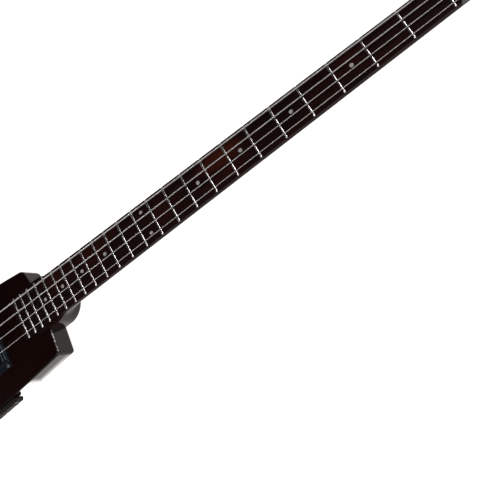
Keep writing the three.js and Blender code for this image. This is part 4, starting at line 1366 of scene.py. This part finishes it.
def strings():
    """Each string from its front ball, over the nut end and its saddle, to its ball in the jaw."""
    for number, name in enumerate(string_names):
        node = f"string_{name}"
        radius = string_diameters[number] / 2
        y = string_y(number, nut_spread)
        head_ball = Vector((head_ball_x, y, head_ball_z))
        at_nut = Vector((zero_fret_x, y, board_top + zero_fret_height + crown_gap + radius))
        at_saddle, jaw_ball = saddle_points(number)
        run = (at_saddle - at_nut).length
        path = [
            head_ball, toward(head_ball, at_nut, end_wrap_length),
            toward(at_nut, head_ball, string_bend), toward(at_nut, at_saddle, string_bend),
            *[toward(at_nut, at_saddle, reach) for reach in between(0.0, run, string_stations)[:-1]],
            toward(at_saddle, at_nut, string_bend), toward(at_saddle, jaw_ball, string_bend), jaw_ball,
        ]
        wire = tube(path, radius)
        for ball, far in ((head_ball, at_nut), (jaw_ball, at_saddle)):
            start = toward(ball, far, ball_radius * 0.7)
            thick = toward(ball, far, end_wrap_length - end_wrap_taper)
            end = toward(ball, far, end_wrap_length)
            wire += tube([start, thick], radius + end_wrap * 0.9)
            wire += tube([thick, end], radius + end_wrap * 0.4)
        mesh = add(node + "_wire", wire, "string_wire", replaces=[node]).data
        # Each point's facing towards the lit side, which the wire's finish reads to paint shade on the
        # flanks.
        facing = np.zeros(3 * len(mesh.vertices))
        mesh.vertices.foreach_get("normal", facing)
        lit_facing = mesh.attributes.new("lit_facing", "FLOAT", "POINT")
        lit_facing.data.foreach_set("value", facing.reshape(-1, 3) @ np.array(lit_side))
        add(node + "_balls", ball_end(head_ball) + ball_end(jaw_ball), "brass")


# Screws
def screw(node, finish, turn=0.35):
    """A threaded screw with a domed head and its recess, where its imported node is."""
    head, head_height, shank, length, recess = screw_sizes(node)
    top, outward = axis_of(node)
    root = shank * (1 - thread_depth_share)
    rows = [(0.0, -length), (root * 0.6, -length + shank * 0.6)]
    height = -length + shank * 1.2
    while height + thread_pitch < -head_height - thread_pitch:
        rows += [(root, height), (shank, height + thread_pitch / 2)]
        height += thread_pitch
    rows += [
        (root, height), (shank * 0.95, height + thread_pitch / 2), (shank * 0.95, -head_height),
        (head - 0.1, -head_height), (head, -head_height + 0.1), (head, -head_height * 0.45),
    ]
    for inward, down in quarter(fine_rows, 1):
        rows.append((head * (1 - 0.38 * inward), -head_height * 0.45 * down))
    rows.append((0.0, 0.0))
    wide = head * 0.2
    long = head * 0.62
    deep = head_height * 0.6
    cuts = [turned([(head * 0.52, -deep), (head * 0.52, 1.0)], 6)]
    if recess == "cross":
        cuts = [block(-long, long, -wide, wide, -deep, 1.0), block(-wide, wide, -long, long, -deep, 1.0)]
    add(
        f"{node}_turned", turned(rows, small_sides).placed(top, outward, turn), finish,
        replaces=[node], slot="steel" if finish == "dull_steel" else finish,
        cuts=[form.placed(top, outward, turn) for form in cuts], angle=38.0,
    )


def screws():
    for i in (1, 2, 3, 4):
        screw(f"neck_bolt_{i}", "black_metal", 0.3 * i)
    for i in (1, 2):
        screw(f"headpiece_screw_{i}", "black_metal")
        screw(f"bridge_screw_{i}", "black_metal", 0.9 * i)
        screw(f"cover_screw_{i}", "black_metal", 0.6 * i)
        screw(f"leg_rest_screw_{i}", "steel")
        for side in ("neck", "bridge"):
            screw(f"{side}_pickup_screw_{i}", "dull_steel", 0.5 * i + 0.2)
    for side in ("front", "rear"):
        screw(f"{side}_strap_screw", "steel", 0.7)


# Headpiece
def headpiece():
    """A block that carries on the neck's section, with slots and pockets for the ball ends."""
    front_x = head_low[0]
    end_x = head_high[0]
    top = head_high[2]
    half = board_half(board_head_x)

    def ring(x, inset):
        wide = half - inset
        line = []
        for i in range(headpiece_rays + 1):
            angle = math.pi * i / headpiece_rays
            side = math.cos(angle)
            across = math.copysign(abs(side) ** (2 / neck_roundness), side)
            down = abs(math.sin(angle)) ** (2 / neck_roundness)
            line.append((x, wide * across, board_bottom - (neck_depth_at_nut - inset) * down))
        return [*line, (x, -wide, top - inset), (x, wide, top - inset)]

    rings = [ring(front_x, headpiece_lip), ring(front_x + headpiece_lip, 0.0)]
    rings.append(ring(end_x - headpiece_edge, 0.0))
    for inward, down in quarter(fine_rows, 1):
        rings.append(ring(end_x - headpiece_edge * down, headpiece_edge * inward))
    cuts = [long_bar(front_x - overrun, end_x + overrun, 0, truss_z, truss_key_radius, round_sides)]
    long = ball_radius + seat_gap
    wide = ball_length / 2 + seat_gap
    for number in range(len(string_names)):
        y = string_y(number, nut_spread)
        slot = string_diameters[number] / 2 + seat_gap
        ends = (head_ball_x - long, head_ball_x + long, y - wide, y + wide)
        pocket = rounded_plan(*ends, pocket_corner, small_rows)
        cuts.append(
            block(front_x - overrun, head_ball_x, y - slot, y + slot, head_ball_z - slot, top + overrun)
        )
        cuts.append(prism(pocket, head_ball_z - long, top + overrun))
    cuts += screw_holes("headpiece_screw", 2, sunk=True)
    add(
        "headpiece_block", loft(rings), "black_metal", replaces=["headpiece"], cuts=cuts, edge=0.25,
        angle=38.0, steps=2,
    )


# Bridge, saddles, jaws and tuner knobs
def saddle(number, name):
    """A wedge whose rounded crest carries the string, on two height screws."""
    node = f"saddle_{name}"
    y = string_y(number, bridge_spread)
    low, high = box(node)
    bottom = low[2]
    crest = high[2]
    front_x = saddle_x + saddle_front
    back_x = saddle_x - saddle_back
    front = (front_x, bottom + saddle_front_height)
    back = (back_x, bottom + saddle_back_height)
    ridge = (saddle_x, crest)
    profile = [
        (back_x, bottom), (front_x, bottom), front,
        *bent(front, (saddle_x + saddle_front / 2, crest), ridge, crest_steps),
        *bent(ridge, (saddle_x - saddle_back / 2, crest), back, crest_steps),
    ]
    wedge = slice_of(profile, y - saddle_width / 2, y + saddle_width / 2)
    groove = string_diameters[number] / 2 + saddle_clearance
    crossing, jaw_ball = saddle_points(number)
    tail_side = crossing - Vector((saddle_back, 0, 0))
    head_side = crossing + Vector((saddle_front + overrun, 0, 0))
    cuts = [
        bar(crossing, jaw_ball, groove, round_sides), bar(tail_side, head_side, groove, round_sides)
    ]
    add(
        f"{node}_block", wedge, "black_metal", node, [node], cuts=cuts, edge=saddle_edge, angle=36.0,
        steps=2,
    )
    radius = height_screw_radius
    rows = [
        (0.0, -height_screw_reach), (radius, -height_screw_reach), (radius, -0.2), (radius - 0.2, 0.0),
        (radius * 0.55, 0.0), (radius * 0.55, -1.0), (0.0, -1.0),
    ]
    grubs = Form()
    for side in (-1, 1):
        at = (saddle_x - saddle_back * 0.1, y + side * height_screw_spread / 2, crest - 0.15)
        grubs += turned(rows, small_sides).placed(at)
    add(f"{node}_height_screws", grubs, "steel", node)


def tuner_knob(name):
    """A knurled knob with a smooth collar, on the jaw's threaded rod."""
    node = f"tuner_knob_{name}"
    _, y, z = middle_of(node)
    bore = jaw_rod_radius + running_gap
    end = tuner_length
    wide = tuner_radius
    collar = tuner_collar_radius
    foot = tuner_collar_length
    rows = [
        (bore, 0.0), (bore, end), (wide - 2.6, end), (wide - 2.2, end - 0.5),
        (wide - tuner_edge - 0.2, end - 0.5), (wide - tuner_edge, end - 0.2),
        (wide - 0.25, end - tuner_edge), (wide, end - tuner_edge - 0.4), (wide, end - 6.0),
        (wide - 0.6, end - 6.4), (wide - 0.6, end - 7.4), (wide, end - 7.8),
        (wide, foot + tuner_edge + 0.3), (wide - tuner_edge, foot + 0.2), (collar, foot),
        (collar, 0.3), (collar - 0.3, 0.0), (bore, 0.0),
    ]
    form = turned(rows, tuner_teeth * 4, tuner_teeth, tuner_tooth_depth, (6, 7, 8, 11, 12))
    form = form.placed((box(node)[1][0], y, z), TAIL)
    add(f"{node}_turned", form, "black_metal", f"tuner_{name}", [node])


def bridge():
    machined("bridge_tray", "bridge_base", "black_metal", edge=0.5)
    for number, name in enumerate(string_names):
        machined(f"jaw_{name}_block", f"jaw_{name}", "steel", f"jaw_{name}", edge=0.35)
        saddle(number, name)
        tuner_knob(name)


# Pickups
def pickup(side, tree):
    """A cover with a flange, rounded edges and ribs at both of its long edges."""
    node = f"{side}_pickup_cover"
    low, high = box(node)
    bottom = low[2]
    top = high[2]
    half_length = (high[1] - low[1]) / 2
    raised_half = half_length - pickup_flange_length
    flange_top = top - pickup_flange_drop

    def flange(inset):
        return plan_of(node, inset, pickup_corner - inset)

    def raised(inset):
        half = raised_half - inset
        return rounded_plan(low[0] + inset, high[0] - inset, -half, half, pickup_raised_corner - inset)

    levels = [
        (flange(0.0), bottom), *rounded_top(flange, flange_top, pickup_flange_edge, small_rows),
        (raised(pickup_flange_edge), flange_top), (raised(pickup_raised_inset), flange_top + 0.3),
        *rounded_top(raised, top, pickup_edge, fine_rows, pickup_raised_inset),
    ]
    centre_x = (low[0] + high[0]) / 2
    wide = pickup_width / 2 - pickup_wall
    long = half_length - pickup_hollow_inset
    hollow = block(centre_x - wide, centre_x + wide, -long, long, bottom - overrun, top - pickup_wall)
    # The shell's dark blue colour is a painted reflection.
    add(
        f"{side}_pickup_shell", stacked(levels), "pickup_plastic", replaces=[node],
        slot="black_plastic", cuts=[hollow, *screw_holes(f"{side}_pickup_screw", 2)],
    )
    # The ribs' pale blue-grey colour is a painted highlight.
    rib_half = raised_half - pickup_rib_end
    for end, edge in (("head", high[0]), ("tail", low[0])):
        away = math.copysign(1, edge - centre_x)
        ribs = grow(
            f"{side}_pickup_{end}_ribs", tree, count=2,
            start=((edge - away * pickup_rib_inset) * MM, -rib_half * MM, top * MM),
            step=(-away * pickup_rib_pitch * MM, 0.0, 0.0), reach=(0.0, 2 * rib_half * MM, 0.0),
            radius=pickup_rib_radius * MM, finish=finishes["pickup_rib"],
        )
        declare(ribs, "pickup_rib")


# Controls
def control_knob(number):
    """A fluted knob with its shaft, and a pale line on its top."""
    node = f"control_knob_{number}"
    body_name = f"knob_{number}"
    x, y, _ = middle_of(node)
    bottom = box(node)[0][2] - body_top
    recess_top = knob_standoff + knob_recess_depth
    wide = knob_radius
    base = knob_standoff
    top = knob_height
    rows = [
        (0.0, bottom), (shaft_radius - 0.3, bottom), (shaft_radius, bottom + 0.3),
        (shaft_radius, recess_top), (knob_recess_radius, recess_top), (knob_recess_radius, base),
        (wide - 0.4, base), (wide, base + 0.4), (wide, base + 1.6), (wide - 0.35, base + 2.0),
        (wide - 0.5, top - 4.4), (wide - 0.6, top - 2.4), (wide - 0.9, top - 1.4),
        (wide - 1.7, top - 0.5), (wide - 2.9, top - 0.12), (wide - 3.6, top), (0.0, top - 0.35),
    ]
    form = turned(rows, knob_flutes * 6, knob_flutes, knob_flute_depth, (9, 10, 11))
    add(f"{node}_fluted", form.placed((x, y, body_top)), "black_plastic", body_name, [node])
    reach = wide - 1.7
    half = knob_line_width / 2
    line_top = body_top + top
    line = block(x + reach * 0.3, x + reach, y - half, y + half, line_top - knob_line_depth, line_top)
    add(f"{node}_mark", line, "indicator", body_name, slot="black_plastic", edge=0.15, angle=30.0)


def pot(number):
    """A potentiometer's case and bushing, around the knob's shaft."""
    node = f"pot_{number}"
    x, y, _ = middle_of(node)
    roof_z = body_top - cavity_roof
    top = box(node)[1][2] - roof_z
    bore = shaft_radius + running_gap
    bottom = -pot_height
    rows = [
        (bore, bottom), (pot_radius - 0.5, bottom), (pot_radius, bottom + 0.5), (pot_radius, -2.4),
        (pot_radius - 0.3, -2.2), (pot_radius - 0.3, -seat_gap), (bushing_radius, -seat_gap),
        (bushing_radius, top - 0.4), (bushing_radius - 0.4, top), (bore, top), (bore, bottom),
    ]
    add(f"{node}_turned", turned(rows).placed((x, y, roof_z)), "steel", replaces=[node])


def output_jack():
    _, y, z = middle_of("output_jack")
    barrel = jack_barrel_radius
    wide = jack_flange_radius
    thick = jack_flange
    rows = [
        (jack_bore, -jack_length), (barrel, -jack_length), (barrel, 0.0), (wide, 0.0),
        (wide, thick * 0.35), (wide - 0.4, thick * 0.5), (barrel + 1.0, thick * 0.6),
        (barrel + 0.8, thick), (jack_bore + 0.4, thick), (jack_bore, thick - 0.4),
        (jack_bore, -jack_length),
    ]
    form = turned(rows).placed((tail_x - seat_gap, y, z), TAIL)
    add("output_jack_turned", form, "steel", replaces=["output_jack"])


def control_cover():
    low, high = box("control_cover")
    corner = cavity_corner + cover_ledge - seat_gap

    def flipped(inset):
        return [(x, -y) for x, y in plan_of("control_cover", inset, corner - inset)]

    levels = [(flipped(0.0), 0.0), *rounded_top(flipped, high[2] - low[2], cover_edge, cover_rows)]
    over = Matrix.Translation((0, 0, high[2])) @ Matrix.Rotation(math.pi, 4, "X")
    cuts = screw_holes("cover_screw", 2, sunk=True)
    plate = stacked(levels).moved(over)
    add("control_cover_plate", plate, "black_plastic", replaces=["control_cover"], cuts=cuts)


# Strap buttons
def strap_button(name):
    node = f"{name}_strap_button"
    top, outward = axis_of(f"{name}_strap_screw")
    head, head_height, shank, _, _ = screw_kinds["strap_screw"]
    bore = shank + seat_gap
    sunk = head + seat_gap
    seat = button_height - head_height - seat_gap
    wide = button_radius
    end = button_height
    rows = [(bore, 0.0), (button_base - 0.4, 0.0), (button_base, 0.4)]
    for share in between(0.0, 1.0, waist_steps):
        swell = (1 - math.sin(math.pi * min(share * 0.86 + 0.07, 1.0))) ** 1.3
        flared = button_base if share < 0.5 else wide - 0.4
        height = 0.4 + (end - button_rim - 0.4) * share
        rows.append((button_waist + (flared - button_waist) * swell, height))
    rows += [
        (wide, end - button_rim + 0.5), (wide, end - 0.8), (wide - 0.8, end), (sunk + 0.3, end),
        (sunk, end - 0.3), (sunk, seat), (bore, seat), (bore, 0.0),
    ]
    origin = top - outward * (end - seat_gap)
    add(f"{node}_turned", turned(rows).placed(origin, outward), "black_metal", replaces=[node])


# Leg rest: drawn with X along the side of the body from the hinge, and Y into the body
def rest_arm(place, pin_y):
    """A bar with rounded edges, a knuckle at the hinge and a pocket for the pad."""
    step_x = rest_plate_length / 2 + rest_plate_gap
    half = rest_height / 2
    tongue = rest_tongue / 2

    def plan(inset):
        outer = inset - rest_proud
        inner = -rest_side_gap - inset
        root = pin_y + rest_knuckle - inset
        step = step_x + inset
        tip = rest_length - inset
        corner = min(rest_corner, (rest_proud - rest_side_gap) / 2 - inset - 0.05)
        back = tip - corner
        return [
            (0.0, root), (step, root), (step, inner),
            (back, inner), *bent((back, inner), (tip, inner), (tip, inner - corner), rest_steps),
            (tip, outer + corner), *bent((tip, outer + corner), (tip, outer), (back, outer), rest_steps),
            (0.0, outer),
        ]

    levels = [(plan(rest_edge * down), rest_edge * inward - half) for inward, down in quarter(fine_rows)]
    arm = stacked(levels + rounded_top(plan, half, rest_edge, fine_rows))
    shoulder = rest_knuckle + rest_shoulder_gap
    far = rest_length
    high = half + overrun
    tip = rest_length - rest_pad_tip_inset + seat_gap
    pad_half = rest_pad_height / 2 + seat_gap
    cuts = [
        block(-far, shoulder, -far, far, tongue, high), block(-far, shoulder, -far, far, -high, -tongue),
        bar((0, pin_y, -high), (0, pin_y, high), rest_pin_radius + running_gap),
        block(
            tip - rest_pad_length - 2 * seat_gap, tip, -rest_proud - rest_pad_proud - seat_gap,
            rest_pad_depth - rest_proud + seat_gap, -pad_half, pad_half,
        ),
    ]
    knuckle = bar((0, pin_y, -tongue), (0, pin_y, tongue), rest_knuckle, round_sides)
    add(
        "leg_rest_arm_bar", arm.moved(place), "rest_metal", "leg_rest", ["leg_rest_arm"], "black_metal",
        parts=[knuckle.moved(place)], cuts=[form.moved(place) for form in cuts],
    )


def rest_pad(place):
    """A rubber pad with a row of round ribs across it."""
    tip = rest_length - rest_pad_tip_inset
    back = tip - rest_pad_length
    outer = -rest_proud - rest_pad_proud
    inner = rest_pad_depth - rest_proud
    base = outer + rest_rib_radius * 0.6
    count = int(rest_pad_length // rest_rib_pitch)
    start = back + (rest_pad_length - count * rest_rib_pitch) / 2
    profile = [(back, inner), (back, base)]
    for i in range(count):
        for share in between(0.0, 1.0, rest_steps):
            lift = math.sin(math.pi * share) ** rest_rib_shape if share < 1 else 0.0
            profile.append((start + rest_rib_pitch * (i + share), base - (base - outer) * lift))
    profile[-1] = (tip, base)
    profile.append((tip, inner))
    pad = stacked([(profile, -rest_pad_height / 2), (profile, rest_pad_height / 2)])
    pad = pad.moved(place)
    piece = add("leg_rest_pad_ribbed", pad, "rubber", "leg_rest", ["leg_rest_pad"], angle=50.0)


def rest_pin(place, pin_y):
    low = -rest_tongue / 2 - running_gap - rest_ear
    base = seat_gap - low
    end = base + rest_pin_head_height
    radius = rest_pin_radius
    head = rest_pin_head
    rows = [
        (0.0, low), (radius - 0.3, low), (radius, low + 0.3), (radius, base), (head - 0.2, base),
        (head, base + 0.2), (head, base + rest_pin_head_height * 0.5), (head * 0.75, end), (0.0, end),
    ]
    pin = turned(rows, small_sides).placed((0, pin_y, 0)).moved(place)
    add("leg_rest_pin_turned", pin, "steel", replaces=["leg_rest_pin"])


def leg_rest():
    hinge_x = rest_tip_x - rest_length
    pin_y = -seat_gap - rest_plate - rest_plate_gap - rest_knuckle
    turn = math.atan2(treble_y(rest_tip_x) - treble_y(hinge_x), rest_length)
    place = Matrix.Translation((hinge_x, treble_y(hinge_x), rest_z)) @ Matrix.Rotation(turn, 4, "Z")
    machined("leg_rest_hinge", "leg_rest_bracket", "black_metal")
    rest_arm(place, pin_y)
    rest_pad(place)
    rest_pin(place, pin_y)


def carried_over():
    """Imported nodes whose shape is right: they only take their finish."""
    finish_of = {
        "truss_rod": "steel", "truss_rod_nut": "brass", "neck_pickup_core": "coil",
        "bridge_pickup_core": "coil", "wiring": "insulation",
    }
    for node, finish in finish_of.items():
        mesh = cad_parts[node].data
        mesh.materials.clear()
        mesh.materials.append(finishes[finish])


camera()
light_floor()
studio()
body()
neck()
fretboard()
frets()
dots()
strings()
headpiece()
bridge()
ribs = rib_tree()
for side in ("neck", "bridge"):
    pickup(side, ribs)
for number in (1, 2, 3):
    control_knob(number)
    pot(number)
output_jack()
control_cover()
strap_button("front")
strap_button("rear")
leg_rest()
screws()
carried_over()
